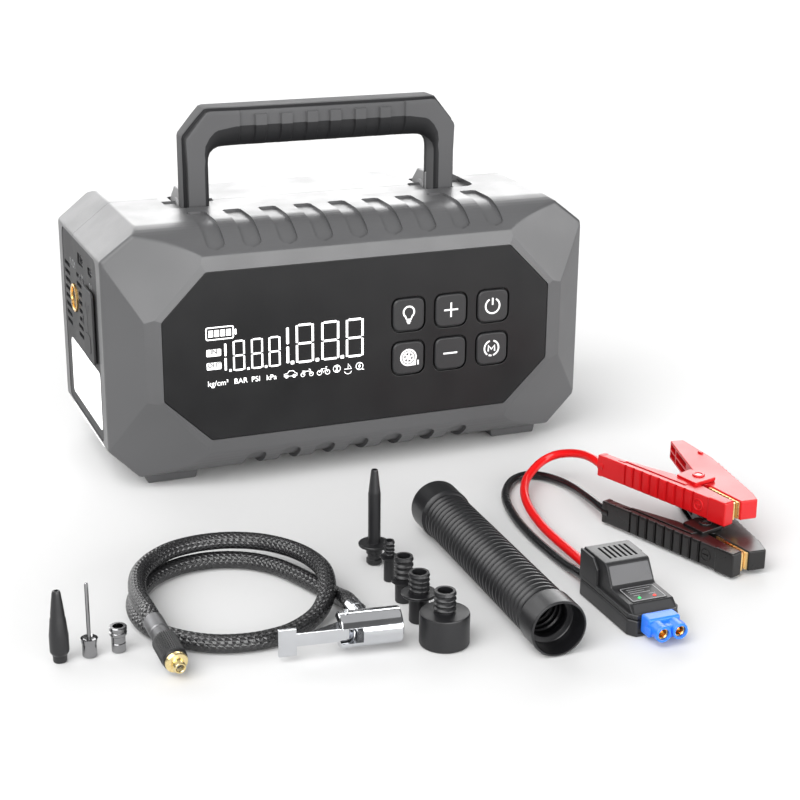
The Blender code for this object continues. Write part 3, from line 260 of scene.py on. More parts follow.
def front_view(y, x=0.0, z=0.0):
    """Outline points are (x, z); thickness runs towards -Y."""
    return frame_at((1, 0, 0), (0, 0, 1), (x, y, z))


def back_view(y, x=0.0, z=0.0):
    """Outline points are (-x, z), as seen from behind; thickness runs towards +Y."""
    return frame_at((-1, 0, 0), (0, 0, 1), (x, y, z))


def side_view(x, y=0.0, z=0.0):
    """Outline points are (y, z); thickness runs towards +X."""
    return frame_at((0, 1, 0), (0, 0, 1), (x, y, z))


def plan_view(z):
    """Outline points are (x, y); thickness runs up."""
    return Matrix.Translation((0, 0, z))


def plates(name, polygons, depth, matrix):
    """Filled outlines that don't overlap, each extruded by depth along local Z."""
    bm = bmesh.new()
    for points in polygons:
        face = bm.faces.new([bm.verts.new((x, y, 0.0)) for x, y in points])
        lifted = bmesh.ops.extrude_face_region(bm, geom=[face])["geom"]
        verts = [item for item in lifted if isinstance(item, bmesh.types.BMVert)]
        bmesh.ops.translate(bm, verts=verts, vec=(0, 0, depth))
    bm.transform(matrix)
    return from_bmesh(name, bm)


def prism(name, points, depth, matrix):
    """One outline extruded by depth along local Z."""
    return plates(name, [points], depth, matrix)


def box(name, low, high, matrix=None):
    """Block between two opposite corners."""
    low, high = Vector(low), Vector(high)
    bm = bmesh.new()
    block = Matrix.Translation((low + high) / 2) @ Matrix.Diagonal((*(high - low), 1.0))
    bmesh.ops.create_cube(bm, size=1.0, matrix=block)
    if matrix is not None:
        bm.transform(matrix)
    return from_bmesh(name, bm)


def rod(name, start, end, radius, sides=32):
    """Cylinder between two points."""
    start, end = Vector(start), Vector(end)
    bm = bmesh.new()
    bmesh.ops.create_cone(bm, cap_ends=True, segments=sides, radius1=radius, radius2=radius,
                          depth=(end - start).length)
    bm.transform(along((start + end) / 2, end))
    return from_bmesh(name, bm)


def lathe(name, profile, matrix, sides=56, closed=False):
    """Turn (radius, height) points about local Z; a closed profile leaves a ring."""
    bm = bmesh.new()
    verts = [bm.verts.new((radius, 0.0, height)) for radius, height in profile]
    edges = [bm.edges.new(pair) for pair in zip(verts, verts[1:])]
    if closed:
        edges.append(bm.edges.new((verts[-1], verts[0])))
    bmesh.ops.spin(bm, geom=verts + edges, cent=(0, 0, 0), axis=(0, 0, 1), angle=2 * math.pi,
                   steps=sides, use_merge=True)
    bmesh.ops.remove_doubles(bm, verts=bm.verts, dist=0.0005)
    bm.transform(matrix)
    return from_bmesh(name, bm)


def loft(name, rings, tags=None, caps=True):
    """Closed sections of equal length joined in a row; tags give each strip's material."""
    bm = bmesh.new()
    rows = [[bm.verts.new(point) for point in ring] for ring in rings]
    count = len(rows[0])
    for row, following in zip(rows, rows[1:]):
        for j in range(count):
            k = (j + 1) % count
            face = bm.faces.new((row[j], row[k], following[k], following[j]))
            face.material_index = tags[j] if tags else 0
    if caps:
        bm.faces.new(rows[0][::-1])
        bm.faces.new(rows[-1])
    return from_bmesh(name, bm)


def rounded(points, radius, steps=4):
    """Round every corner of a closed outline."""
    result = []
    count = len(points)
    for index, corner in enumerate(points):
        here = Vector(corner)
        before = Vector(points[index - 1]) - here
        after = Vector(points[(index + 1) % count]) - here
        half = before.angle(after) / 2
        reach = min(radius / math.tan(half), before.length * 0.49, after.length * 0.49)
        start = here + before.normalized() * reach
        end = here + after.normalized() * reach
        for step in range(steps + 1):
            t = step / steps
            result.append(tuple(start * (1 - t) ** 2 + here * 2 * t * (1 - t) + end * t ** 2))
    return result


def rectangle(x_low, x_high, y_low, y_high):
    return [(x_low, y_low), (x_high, y_low), (x_high, y_high), (x_low, y_high)]


def rounded_box(x_low, x_high, y_low, y_high, radius, steps=4):
    return rounded(rectangle(x_low, x_high, y_low, y_high), radius, steps)


def arc(x, y, radius, start, end, steps=18):
    """Points from one angle to another, in degrees, both ends included."""
    angles = [math.radians(start + (end - start) * i / steps) for i in range(steps + 1)]
    return [(x + radius * math.cos(angle), y + radius * math.sin(angle)) for angle in angles]


def circle(x, y, radius, steps=32):
    return arc(x, y, radius, 0.0, 360.0, steps)[:-1]


def bevel(obj, width, segments=3, angle=30.0):
    """Round every edge sharper than the angle, in degrees."""
    modifier = obj.modifiers.new("bevel", "BEVEL")
    modifier.width = width
    modifier.segments = segments
    modifier.limit_method = "ANGLE"
    modifier.angle_limit = math.radians(angle)
    modifier.miter_outer = "MITER_ARC"
    return bake(obj)


def carve(obj, *tools, operation="DIFFERENCE"):
    """Boolean with tools that don't touch one another; the tools are used up."""
    group = bpy.data.collections.new("tools")
    for tool in tools:
        group.objects.link(tool)
    modifier = obj.modifiers.new("carve", "BOOLEAN")
    modifier.operation = operation
    modifier.operand_type = "COLLECTION"
    modifier.collection = group
    modifier.solver = "EXACT"
    bake(obj)
    for tool in tools:
        bpy.data.objects.remove(tool, do_unlink=True)
    bpy.data.collections.remove(group)
    return obj


def merge(name, *parts):
    """Put several meshes in one object without a boolean."""
    bm = bmesh.new()
    slots = []
    for part in parts:
        base = len(slots)
        slots += list(part.data.materials)
        before = len(bm.faces)
        bm.from_mesh(part.data)
        bm.faces.ensure_lookup_table()
        for face in bm.faces[before:]:
            face.material_index += base
        bpy.data.objects.remove(part, do_unlink=True)
    mesh = bpy.data.meshes.new(name)
    bm.to_mesh(mesh)
    bm.free()
    for slot in slots:
        mesh.materials.append(slot)
    return link(name, mesh)


def finish(obj, look, body, stands_for=None, smooth=32.0):
    """Move a finished piece into the row frame, paint it and put it on its body."""
    obj.data.transform(ROW)
    indices = [face.material_index for face in obj.data.polygons]
    obj.data.materials.clear()
    for one in look if isinstance(look, tuple) else (look,):
        obj.data.materials.append(one)
    obj.data.polygons.foreach_set("material_index", indices)
    obj.data.shade_smooth()
    obj.data.set_sharp_from_angle(angle=math.radians(smooth))
    modifier = obj.modifiers.new("normals", "WEIGHTED_NORMAL")
    modifier.keep_sharp = True
    bake(obj)
    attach(obj, body)
    if stands_for:
        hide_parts(stands_for)


def smooth_route(route, spacing):
    """Points about every spacing mm on a Catmull-Rom curve through the route."""
    knots = [Vector(point) for point in route]
    knots = [knots[0] * 2 - knots[1]] + knots + [knots[-1] * 2 - knots[-2]]
    fine = []
    steps = 40
    for p0, p1, p2, p3 in zip(knots, knots[1:], knots[2:], knots[3:]):
        for step in range(steps):
            t = step / steps
            fine.append(0.5 * (2 * p1 + (p2 - p0) * t + (2 * p0 - 5 * p1 + 4 * p2 - p3) * t ** 2
                               + (3 * p1 - p0 - 3 * p2 + p3) * t ** 3))
    fine.append(knots[-2])
    run = [0.0]
    for a, b in zip(fine, fine[1:]):
        run.append(run[-1] + (b - a).length)
    count = max(2, round(run[-1] / spacing))
    targets = np.linspace(0.0, run[-1], count + 1)
    columns = [np.interp(targets, run, [point[axis] for point in fine]) for axis in range(3)]
    return [Vector(point) for point in zip(*columns)]


def tube(name, points, radius, sides=24, shape=None):
    """Closed tube round the points with a UV map: u round it, v in mm along it."""
    bm = bmesh.new()
    uv = bm.loops.layers.uv.new("route")
    normal = Vector((0, 0, 1))
    rows, runs, run = [], [], 0.0
    for index, point in enumerate(points):
        tangent = (points[min(index + 1, len(points) - 1)] - points[max(index - 1, 0)]).normalized()
        normal = (normal - tangent * normal.dot(tangent)).normalized()
        side = tangent.cross(normal)
        if index:
            run += (point - points[index - 1]).length
        ring = []
        for j in range(sides):
            angle = 2 * math.pi * j / sides
            reach = radius + (shape(j / sides, run) if shape else 0.0)
            ring.append(bm.verts.new(point + (normal * math.cos(angle) + side * math.sin(angle)) * reach))
        rows.append(ring)
        runs.append(run)
    for i in range(len(rows) - 1):
        for j in range(sides):
            k = (j + 1) % sides
            face = bm.faces.new((rows[i][j], rows[i][k], rows[i + 1][k], rows[i + 1][j]))
            corners = ((j, i), (j + 1, i), (j + 1, i + 1), (j, i + 1))
            for loop, (a, b) in zip(face.loops, corners):
                loop[uv].uv = (a / sides, runs[b])
    bm.faces.new(rows[0][::-1])
    bm.faces.new(rows[-1])
    return from_bmesh(name, bm)


# ---------------------------------------------------------------- materials
class Look:
    """A Principled material with a few procedural layers."""

    def __init__(self, name, colour, roughness, metallic=0.0, specular=0.5):
        self.material = bpy.data.materials.new(name)
        self.material.use_nodes = True
        self.tree = self.material.node_tree
        self.shader = self.tree.nodes["Principled BSDF"]
        inputs = self.shader.inputs
        inputs["Base Color"].default_value = (*colour, 1.0)
        inputs["Roughness"].default_value = roughness
        inputs["Metallic"].default_value = metallic
        inputs["Specular IOR Level"].default_value = specular
        self.colour, self.roughness = colour, roughness
        self.place = self.tree.nodes.new("ShaderNodeTexCoord").outputs["Object"]
        self.height = None

    def node(self, kind, **settings):
        made = self.tree.nodes.new(kind)
        for key, value in settings.items():
            setattr(made, key, value)
        return made

    def join(self, source, target):
        self.tree.links.new(source, target)

    def noise(self, scale, detail=2.0):
        made = self.node("ShaderNodeTexNoise")
        made.inputs["Scale"].default_value = scale
        made.inputs["Detail"].default_value = detail
        self.join(self.place, made.inputs["Vector"])
        return made.outputs["Fac"]

    def ramp(self, source, low, high, from_low=0.35, from_high=0.65):
        made = self.node("ShaderNodeMapRange")
        limits = {"From Min": from_low, "From Max": from_high, "To Min": low, "To Max": high}
        for key, value in limits.items():
            made.inputs[key].default_value = value
        self.join(source, made.inputs["Value"])
        return made.outputs["Result"]

    def mix(self, factor, first, second):
        made = self.node("ShaderNodeMix", data_type="RGBA")
        self.join(factor, made.inputs["Factor"])
        for socket, value in ((made.inputs[6], first), (made.inputs[7], second)):
            if hasattr(value, "links"):
                self.join(value, socket)
            else:
                socket.default_value = (*value, 1.0)
        return made.outputs[2]

    def mottle(self, scale, amount):
        """Slight light and dark drift of the base colour."""
        dark = tuple(c * (1 - amount) for c in self.colour)
        light = tuple(min(1.0, c * (1 + amount)) for c in self.colour)
        factor = self.ramp(self.noise(scale), 0.0, 1.0)
        self.join(self.mix(factor, dark, light), self.shader.inputs["Base Color"])
        return self

    def sheen_drift(self, scale, amount):
        """Roughness that drifts about its middle value."""
        low, high = self.roughness - amount, self.roughness + amount
        self.join(self.ramp(self.noise(scale, 3.0), low, high), self.shader.inputs["Roughness"])
        return self

    def grain(self, scale, distance, strength=0.5):
        """Fine bump, as of spark-eroded moulds or ground metal."""
        made = self.node("ShaderNodeBump")
        made.inputs["Strength"].default_value = strength
        made.inputs["Distance"].default_value = distance
        self.join(self.noise(scale), made.inputs["Height"])
        if self.height is not None:
            self.join(self.height, made.inputs["Normal"])
        self.height = made.outputs["Normal"]
        self.join(self.height, self.shader.inputs["Normal"])
        return self


def moulded(name, colour, roughness, grain=0.00006, scale=2600.0, specular=0.5):
    """Moulded plastic or rubber; grain is the bump's height in metres."""
    look = Look(name, colour, roughness, specular=specular)
    look.mottle(14.0, 0.05).sheen_drift(35.0, 0.04).grain(scale, grain)
    return look.material


def metal(name, colour, roughness):
    look = Look(name, colour, roughness, metallic=1.0)
    look.mottle(60.0, 0.04).sheen_drift(90.0, roughness * 0.25).grain(400.0, 0.00001, 0.3)
    return look.material


def glowing(name, colour, strength):
    """Faintly uneven lamp lens or display light."""
    look = Look(name, colour, 0.4)
    look.mottle(300.0, 0.03)
    look.shader.inputs["Emission Color"].default_value = (*colour, 1.0)
    look.shader.inputs["Emission Strength"].default_value = strength
    return look.material


def braided():
    """Glossy black braid with painted shade in its recessed gaps; the route UV runs round and along it."""
    look = Look("braid", (0.012, 0.012, 0.013), 0.26, specular=0.75)
    uv = look.node("ShaderNodeUVMap", uv_map="route")
    parts = look.node("ShaderNodeSeparateXYZ")
    look.join(uv.outputs["UV"], parts.inputs["Vector"])

    def math_node(operation, first, second):
        made = look.node("ShaderNodeMath", operation=operation)
        for socket, value in zip(made.inputs, (first, second)):
            if hasattr(value, "links"):
                look.join(value, socket)
            else:
                socket.default_value = value
        return made.outputs[0]

    around = math_node("MULTIPLY", parts.outputs["X"], BRAID_STARTS)
    run = math_node("DIVIDE", parts.outputs["Y"], BRAID_PITCH)
    first = math_node("PINGPONG", math_node("ADD", around, run), 0.5)
    second = math_node("PINGPONG", math_node("SUBTRACT", around, run), 0.5)
    strand = math_node("MAXIMUM", first, second)
    # gaps between strands, where the bump sinks, are painted darker: painted shade
    gap = look.ramp(strand, 0.0, 1.0, 0.40, 0.47)
    paint = look.mix(gap, (0.01, 0.01, 0.011), (0.001, 0.001, 0.001))
    look.join(paint, look.shader.inputs["Base Color"])
    bump = look.node("ShaderNodeBump", invert=True)
    bump.inputs["Strength"].default_value = 1.0
    bump.inputs["Distance"].default_value = 0.0008
    look.join(strand, bump.inputs["Height"])
    look.height = bump.outputs["Normal"]
    look.grain(3000.0, 0.00005)
    return look.material


def make_looks():
    return {
        "shell": moulded("shell_plastic", (0.066, 0.066, 0.068), 0.35, 0.00004, 3200),
        "panel": moulded("panel_gloss", (0.007, 0.007, 0.0075), 0.34, grain=0.00001, specular=0.3),
        "key": moulded("key_rubber", (0.008, 0.008, 0.009), 0.48, grain=0.00005),
        # near-black paint: painted shade for the key mat and the panel lip, and print for the tags' words
        "gap": moulded("key_mat", (0.004, 0.004, 0.004), 0.7),
        "handle": moulded("handle_plastic", (0.088, 0.088, 0.09), 0.7, 0.00008, 2200, specular=0.08),
        "grip": moulded("handle_rubber", (0.08, 0.08, 0.082), 0.7, 0.0001, 1900, specular=0.08),
        # near-black handle paint: painted shade in the channel and on the rolled inner corner
        "handle_shade": moulded("handle_channel", (0.014, 0.014, 0.015), 0.6, specular=0.2),
        "plate": moulded("side_plate", (0.014, 0.014, 0.015), 0.5, 0.00008, 2400, specular=0.3),
        "bracket": moulded("heel_plastic", (0.26, 0.26, 0.263), 0.45, grain=0.00006),
        "black": moulded("black_nylon", (0.008, 0.008, 0.009), 0.38, grain=0.00005),
        "duct": moulded("duct_rubber", (0.007, 0.007, 0.008), 0.35, grain=0.00005),
        "rubber": moulded("black_rubber", (0.02, 0.02, 0.021), 0.6, grain=0.00008),
        "jacket_black": moulded("jacket_black", (0.005, 0.005, 0.006), 0.26, grain=0.00003),
        "jacket_red": moulded("jacket_red", (0.62, 0.002, 0.003), 0.3, grain=0.00003),
        "red": moulded("clamp_red", (0.46, 0.004, 0.006), 0.33, grain=0.00004),
        "clamp_black": moulded("clamp_black", (0.004, 0.0035, 0.0035), 0.3, grain=0.00005),
        "box": moulded("box_plastic", (0.013, 0.013, 0.014), 0.38, grain=0.00007),
        # grey plates on the box's slope and nose: painted reflection on its glossy black faces
        "window": moulded("box_window", (0.1, 0.1, 0.103), 0.3, grain=0.00002),
        "nose": moulded("box_nose", (0.035, 0.035, 0.036), 0.3, grain=0.00002),
        "blue": moulded("plug_blue", (0.02, 0.16, 0.72), 0.35, grain=0.00004),
        "white": moulded("print_white", (0.86, 0.86, 0.86), 0.5),
        "outline": moulded("print_grey", (0.35, 0.35, 0.36), 0.5),
        "glow": glowing("display_light", (0.9, 0.9, 0.9), 1.0),
        "lens": glowing("lens_milk", (0.95, 0.95, 0.95), 0.35),
        "green_led": glowing("led_green", (0.02, 0.55, 0.12), 0.6),
        "red_led": glowing("led_red", (0.8, 0.03, 0.02), 0.6),
        "brass": metal("brass", (0.86, 0.55, 0.2), 0.22),
        "copper": metal("jaw_copper", (0.85, 0.58, 0.25), 0.3),
        "pale_brass": metal("pale_brass", (0.86, 0.7, 0.36), 0.24),
        "chrome": metal("chrome", (0.62, 0.63, 0.65), 0.1),
        "nickel": metal("nickel", (0.3, 0.3, 0.305), 0.16),
        "steel": metal("steel", (0.42, 0.42, 0.43), 0.32),
        "ferrule": metal("ferrule_grey", (0.2, 0.2, 0.205), 0.38),
        "braid": braided(),
        "board": moulded("board_green", (0.02, 0.13, 0.05), 0.5),
        "cell": moulded("cell_sleeve", (0.05, 0.16, 0.4), 0.45),
        "nylon": moulded("gear_nylon", (0.8, 0.8, 0.76), 0.4),
    }


# ---------------------------------------------------------------- housing
def roll_radius(top):
    """Height, side, radius and run of the big round along the roof or the base."""
    centre_z, edge_z = (TOP_Z, RIDGE_TOP_Z) if top else (BASE_Z, RIDGE_BOTTOM_Z)
    drop, run = abs(centre_z - edge_z), abs(RIDGE_Y - ROLL_Y)
    return centre_z, 1 if top else -1, (run ** 2 + drop ** 2) / (2 * drop), run


def half_spaces():
    """Outward normals and offsets of every plane that bounds the housing."""
    planes = []

    def through(a, b, c):
        a = Vector(a)
        normal = (Vector(b) - a).cross(Vector(c) - a).normalized()
        if normal.dot(a - Vector((0, 0, MIDDLE_Z))) < 0:
            normal.negate()
        planes.append((normal, normal.dot(a)))

    for top in (True, False):
        centre_z, side, radius, run = roll_radius(top)
        sweep = math.asin(run / radius)
        for step in range(ROLL_STEPS + 1):
            angle = sweep * step / ROLL_STEPS
            z = centre_z - side * (radius - radius * math.cos(angle))
            for facing in ((-1, 1) if step else (-1,)):
                normal = Vector((0, facing * math.sin(angle), side * math.cos(angle)))
                planes.append((normal, normal.dot((0, facing * (-ROLL_Y + radius * math.sin(angle)), z))))
    for facing in (-1, 1):
        planes.append((Vector((0, facing, 0)), -FACE_Y))
    outline = panel_corners(0.0)
    for (x, z), (next_x, next_z) in zip(outline, outline[1:] + outline[:1]):
        edge = Vector((next_x - x, 0, next_z - z)).normalized()
        outward = Vector((edge.z, 0, -edge.x))
        if outward.dot((x, 0, z - MIDDLE_Z)) < 0:
            outward.negate()
        normal = outward * math.sin(BAND_TILT) - Vector((0, math.cos(BAND_TILT), 0))
        planes.append((normal, normal.dot((x, FACE_Y, z))))
    for across in (-1, 1):
        planes.append((Vector((across, 0, 0)), HALF_WIDTH))
        for facing in (-1, 1):
            face, shoulder = -RIDGE_Y * facing, -SHOULDER_Y * facing
            high, low = (RIDGE_HALF * across, face, RIDGE_HIGH), (RIDGE_HALF * across, face, RIDGE_LOW)
            outer_high = (HALF_WIDTH * across, shoulder, SIDE_HIGH)
            outer_low = (HALF_WIDTH * across, shoulder, SIDE_LOW)
            through((RIDGE_TOP_X * across, face, RIDGE_TOP_Z), high, outer_high)
            through((RIDGE_BOTTOM_X * across, face, RIDGE_BOTTOM_Z), low, outer_low)
            through(low, high, outer_high)
        wall = HALF_WIDTH * across
        through((wall, 0, SIDE_HIGH), (wall, 9, SIDE_HIGH), (ROOF_EDGE_X * across, 0, ROOF_EDGE_Z))
        through((wall, 0, SIDE_LOW), (wall, 9, SIDE_LOW), (BASE_EDGE_X * across, 0, BASE_EDGE_Z))
    return planes


def housing(name, inset):
    """The housing as one convex solid, drawn in by inset on every face."""
    bm = bmesh.new()
    block = Matrix.Translation((0, 0, MIDDLE_Z)) @ Matrix.Diagonal((320, 170, 170, 1))
    bmesh.ops.create_cube(bm, size=1.0, matrix=block)
    for normal, offset in half_spaces():
        everything = bm.verts[:] + bm.edges[:] + bm.faces[:]
        found = bmesh.ops.bisect_plane(bm, geom=everything, dist=0.0005, plane_co=normal * (offset - inset),
                                       plane_no=normal, clear_outer=True)
        rim = [item for item in found["geom_cut"] if isinstance(item, bmesh.types.BMEdge)]
        if rim:
            bmesh.ops.edgeloop_fill(bm, edges=rim)
    bmesh.ops.remove_doubles(bm, verts=bm.verts, dist=0.02)
    bmesh.ops.dissolve_limit(bm, angle_limit=math.radians(0.5), verts=bm.verts, edges=bm.edges)
    return from_bmesh(name, bm)


def roll_edges(obj, radius, steps=5):
    """Convex solid grown by radius, so its faces move out and its edges come out round."""
    bm = bmesh.new()
    bm.from_mesh(obj.data)
    bm.normal_update()
    points = []
    for vert in bm.verts:
        middle = sum((face.normal for face in vert.link_faces), Vector()).normalized()
        directions = [middle] + [face.normal.copy() for face in vert.link_faces]
        for edge in vert.link_edges:
            first, second = (face.normal for face in edge.link_faces)
            for step in range(1, steps):
                along_edge = first.slerp(second, step / steps)
                directions += [along_edge, along_edge.slerp(middle, 0.5)]
        points += [vert.co + direction * radius for direction in directions]
    bm.free()
    grown = bmesh.new()
    for point in points:
        grown.verts.new(point)
    bmesh.ops.remove_doubles(grown, verts=grown.verts, dist=0.002)
    made = bmesh.ops.convex_hull(grown, input=grown.verts)
    left_over = made["geom_interior"] + made["geom_unused"]
    spare = {item for item in left_over if isinstance(item, bmesh.types.BMVert)}
    bmesh.ops.delete(grown, geom=list(spare), context="VERTS")
    bmesh.ops.dissolve_limit(grown, angle_limit=math.radians(0.03), verts=grown.verts, edges=grown.edges)
    name = obj.name
    bpy.data.objects.remove(obj, do_unlink=True)
    return from_bmesh(name, grown)


def round_half(radius, reach):
    """Half width of a round end at this distance from its tip."""
    return math.sqrt(max(0.0, radius ** 2 - (radius - reach) ** 2))


def groove_tool(top, centre_x, width, depth, start_y):
    """Loft that presses one round-ended groove into a rolled edge."""
    centre_z, side, radius, run = roll_radius(top)
    flat = abs(ROLL_Y - start_y)
    total = flat + radius * math.asin(run / radius) * GROOVE_SHARE
    end_round, start_round = width / 2, 1.6
    rings = []
    for index in range(GROOVE_STEPS + 1):
        reach = total * index / GROOVE_STEPS
        half = width / 2
        if total - reach < end_round:
            half = round_half(end_round, total - reach) + 0.25
        if reach < start_round:
            half = min(half, width / 2 - start_round + round_half(start_round, reach) + 0.05)
        angle = max(0.0, reach - flat) / radius
        start = start_y - reach if reach < flat else ROLL_Y
        ring = []
        for offset, sign in ((3.0, -1), (3.0, 1), (-depth, 1), (-depth, -1)):
            y = start - (radius + offset) * math.sin(angle)
            z = centre_z - side * (radius - (radius + offset) * math.cos(angle))
            ring.append((centre_x + sign * half, y, z))
        rings.append(ring)
    return loft("groove", rings)


def panel_corners(inset):
    """Corners of the panel's octagon, drawn in by inset."""
    half, low, high, top_x, top_z, bottom_x, bottom_z = PANEL
    slant = inset * 0.42
    return [(half - inset, low + slant), (half - inset, high - slant), (top_x - slant, top_z - inset),
            (-top_x + slant, top_z - inset), (-half + inset, high - slant), (-half + inset, low + slant),
            (-bottom_x + slant, bottom_z + inset), (bottom_x - slant, bottom_z + inset)]


def octagon_outline(inset, radius=3.0):
    return rounded(panel_corners(inset), radius)


def foot(centre_x, rear_y):
    """Tapered foot that runs forwards from rear_y."""
    profile = [(-14.4, 0.0), (14.4, 0.0), (16.4, 7.5), (-16.4, 7.5)]
    return bevel(prism("foot", profile, FOOT_DEPTH, front_view(rear_y, centre_x)), 0.6, 2)


def hollow_hull():
    """The whole housing with its wall, before anything opens it."""
    hull = roll_edges(housing("hull", EDGE_ROLL), EDGE_ROLL)
    hollow = housing("hollow", WALL)
    carve(hollow, *[box("boss", (x, -15, 130), (x + 40, 32, 170)) for x in (-102, 62)])
    carve(hollow, box("bay_floor", (-100, -17.5, RECESS_Z - WALL), (100, 61, 170)))
    return carve(hull, hollow)


def open_sides_and_roof(hull):
    """Openings for the end plates, the handle's bay, its wells and its trunnions."""
    opening = rounded_box(-47.5, 47.0, 27.0, 136.0, 6.0)
    for x_low in (-HALF_WIDTH - 5, HALF_WIDTH - WALL - 6):
        carve(hull, prism("side_cut", opening, WALL + 11, side_view(x_low)))
    carve(hull, prism("bay", rounded_box(-98.0, 98.0, -15.5, 90.0, 10.0, 6), 20.0, plan_view(RECESS_Z)))
    wells = []
    pins = []
    for side in (-1, 1):
        x_low, x_high = sorted((side * (LEG_IN - 1.8), side * (LEG_OUT + 1.8)))
        wells.append(prism("well", rounded_box(x_low, x_high, -11.6, 30.5, 3.0), 40.0, plan_view(133.0)))
        pins.append(rod("hole", (side * 64, SEAM_Y, HINGE_Z), (side * 99, SEAM_Y, HINGE_Z), 3.35, 24))
    carve(hull, *wells)
    carve(hull, *pins)


def open_front(hull):
    """The panel's window and the grooves along the roof's and the base's front edges."""
    carve(hull, prism("window", octagon_outline(-GAP), 20.0, front_view(-62.0)))
    tools = [groove_tool(True, i * GROOVE_PITCH, GROOVE_WIDTH, 1.6, -27.0) for i in range(-4, 5)]
    tools += [groove_tool(False, i * GROOVE_PITCH, GROOVE_WIDTH + 1, 2.4, -34.0) for i in range(-3, 4)]
    carve(hull, *tools)


def make_shells(look):
    """Front and rear half shells with their feet, and the black lip behind the panel, painted shade in its
    seam.
    """
    hull = hollow_hull()
    open_sides_and_roof(hull)
    feet = [foot(x, rear_y) for x in (-FOOT_X, FOOT_X) for rear_y in (-28.0, 50.5)]
    carve(hull, *feet, operation="UNION")
    rear = link("rear_shell_skin", hull.data.copy())
    hull.name = "front_shell_skin"
    open_front(hull)
    carve(hull, box("keep_out", (-200, SEAM_Y - GAP / 2, -20), (200, 200, 220)))
    finish(hull, look["shell"], "unit", "front_shell", smooth=38.0)
    carve(rear, box("keep_out", (-200, -200, -20), (200, SEAM_Y + GAP / 2, 220)))
    finish(rear, look["shell"], "unit", "rear_shell", smooth=38.0)
    # black lip behind the panel's edge: painted shade in the seam
    lip = prism("panel_lip", octagon_outline(-4.0), 1.6, front_view(-70.4))
    carve(lip, prism("window", octagon_outline(6.0), 20.0, front_view(-62.0)))
    finish(lip, look["gap"], "unit")


# ---------------------------------------------------------------- panel, keys, display
def square(x, z, half, radius, steps):
    return rounded_box(x - half, x + half, z - half, z + half, radius, steps)


def make_panel(look):
    """Smoked panel, the black mat behind it as painted shade in the keys' gaps, and the six keys with their
    signs.
    """
    panel = prism("panel_face", octagon_outline(0.0), 2.0, front_view(PANEL_Y + 2.0))
    holes = [square(x, z, KEY_HALF + KEY_GAP, 6.3, 6) for _, _, x, z in KEYS]
    carve(panel, *[prism("hole", outline, 10.0, front_view(-70.0)) for outline in holes])
    bevel(panel, 0.35, 2, 40)
    finish(panel, look["panel"], "unit", "front_panel")
    # black mat behind the keys: painted shade seen through their gaps
    mat = box("key_mat", (14.0, -72.3, 52.0), (98.0, -72.0, 110.0))
    finish(mat, look["gap"], "unit")
    for name, sign, x, z in KEYS:
        key = prism(name + "_cap", square(x, z, KEY_HALF, 5.6, 8), 5.6, front_view(PANEL_Y + 5.0))
        bevel(key, 1.1, 4, 50)
        finish(key, look["key"], name + "_body", name)
        icon = glyph(name + "_print", GLYPHS[sign], 1.05, front_view(-75.2, x, z))
        finish(icon, look["white"], name + "_body")


def stroke_curve(name, strokes, width):
    """Round-ended strokes drawn in local XY, each (points, closed)."""
    curve = bpy.data.curves.new(name, "CURVE")
    curve.dimensions = "3D"
    curve.bevel_depth = width / 2
    curve.bevel_resolution = 2
    curve.use_fill_caps = True
    for points, closed in strokes:
        spline = curve.splines.new("POLY")
        spline.points.add(len(points) - 1)
        for point, (x, y) in zip(spline.points, points):
            point.co = (x, y, 0.0, 1.0)
        spline.use_cyclic_u = closed
    return link(name, curve)


def glyph(name, strokes, width, matrix, rise=0.12):
    """Strokes that lie on a surface, flattened to this share of their width."""
    obj = stroke_curve(name, strokes, width)
    obj.matrix_basis = matrix @ Matrix.Diagonal((1, 1, rise, 1))
    bpy.context.view_layer.update()
    return as_mesh(obj)


def fan_strokes():
    """Blower: two rings, six vanes and the outlet."""
    strokes = [(circle(0, 0.3, 4.8), True), (circle(0, 0.3, 3.3), True), (circle(0, 0.3, 0.7, 10), True)]
    for index in range(6):
        angle = math.radians(60 * index)
        strokes.append(([(math.cos(angle), 0.3 + math.sin(angle)),
                         (2.6 * math.cos(angle + 0.35), 0.3 + 2.6 * math.sin(angle + 0.35))], False))
    strokes.append(([(0.5, -4.5), (4.4, -4.5), (4.4, -2.2)], False))
    strokes.append(([(6.2, -4.7), (6.2, -1.8)], False))
    return strokes


GLYPHS = {
    "bulb": [(arc(0, 1.6, 3.4, -52, 232, 24) + [(-1.4, -2.9), (1.4, -2.9)], True),
             ([(-1.4, -4.1), (1.4, -4.1)], False), ([(-0.8, -5.2), (0.8, -5.2)], False)],
    "plus": [([(-4.5, 0.3), (4.5, 0.3)], False), ([(0, -4.2), (0, 4.8)], False)],
    "minus": [([(-4.5, 0.1), (4.5, 0.1)], False)],
    "power": [(arc(-0.3, 0.0, 4.6, 118, 422, 30), False), ([(-0.3, 0.6), (-0.3, 5.0)], False)],
    "mode": [(arc(-0.3, 0.2, 4.7, 105, 235, 14), False), (arc(-0.3, 0.2, 4.7, -75, 75, 16), False),
             (arc(-0.3, 0.2, 4.7, 248, 272, 4), False),
             ([(-2.4, -1.7), (-2.4, 2.0), (-0.3, -0.5), (1.8, 2.0), (1.8, -1.7)], False)],
    "fan": fan_strokes(),
}


def lettering(name, body, size, matrix, weight=0.0):
    """Unit names and the like, in the built-in font."""
    curve = bpy.data.curves.new(name, "FONT")
    curve.body = body
    curve.offset = weight
    curve.size = size
    curve.extrude = 0.04
    curve.align_y = "BOTTOM"
    obj = link(name, curve)
    obj.matrix_basis = matrix
    bpy.context.view_layer.update()
    return as_mesh(obj)


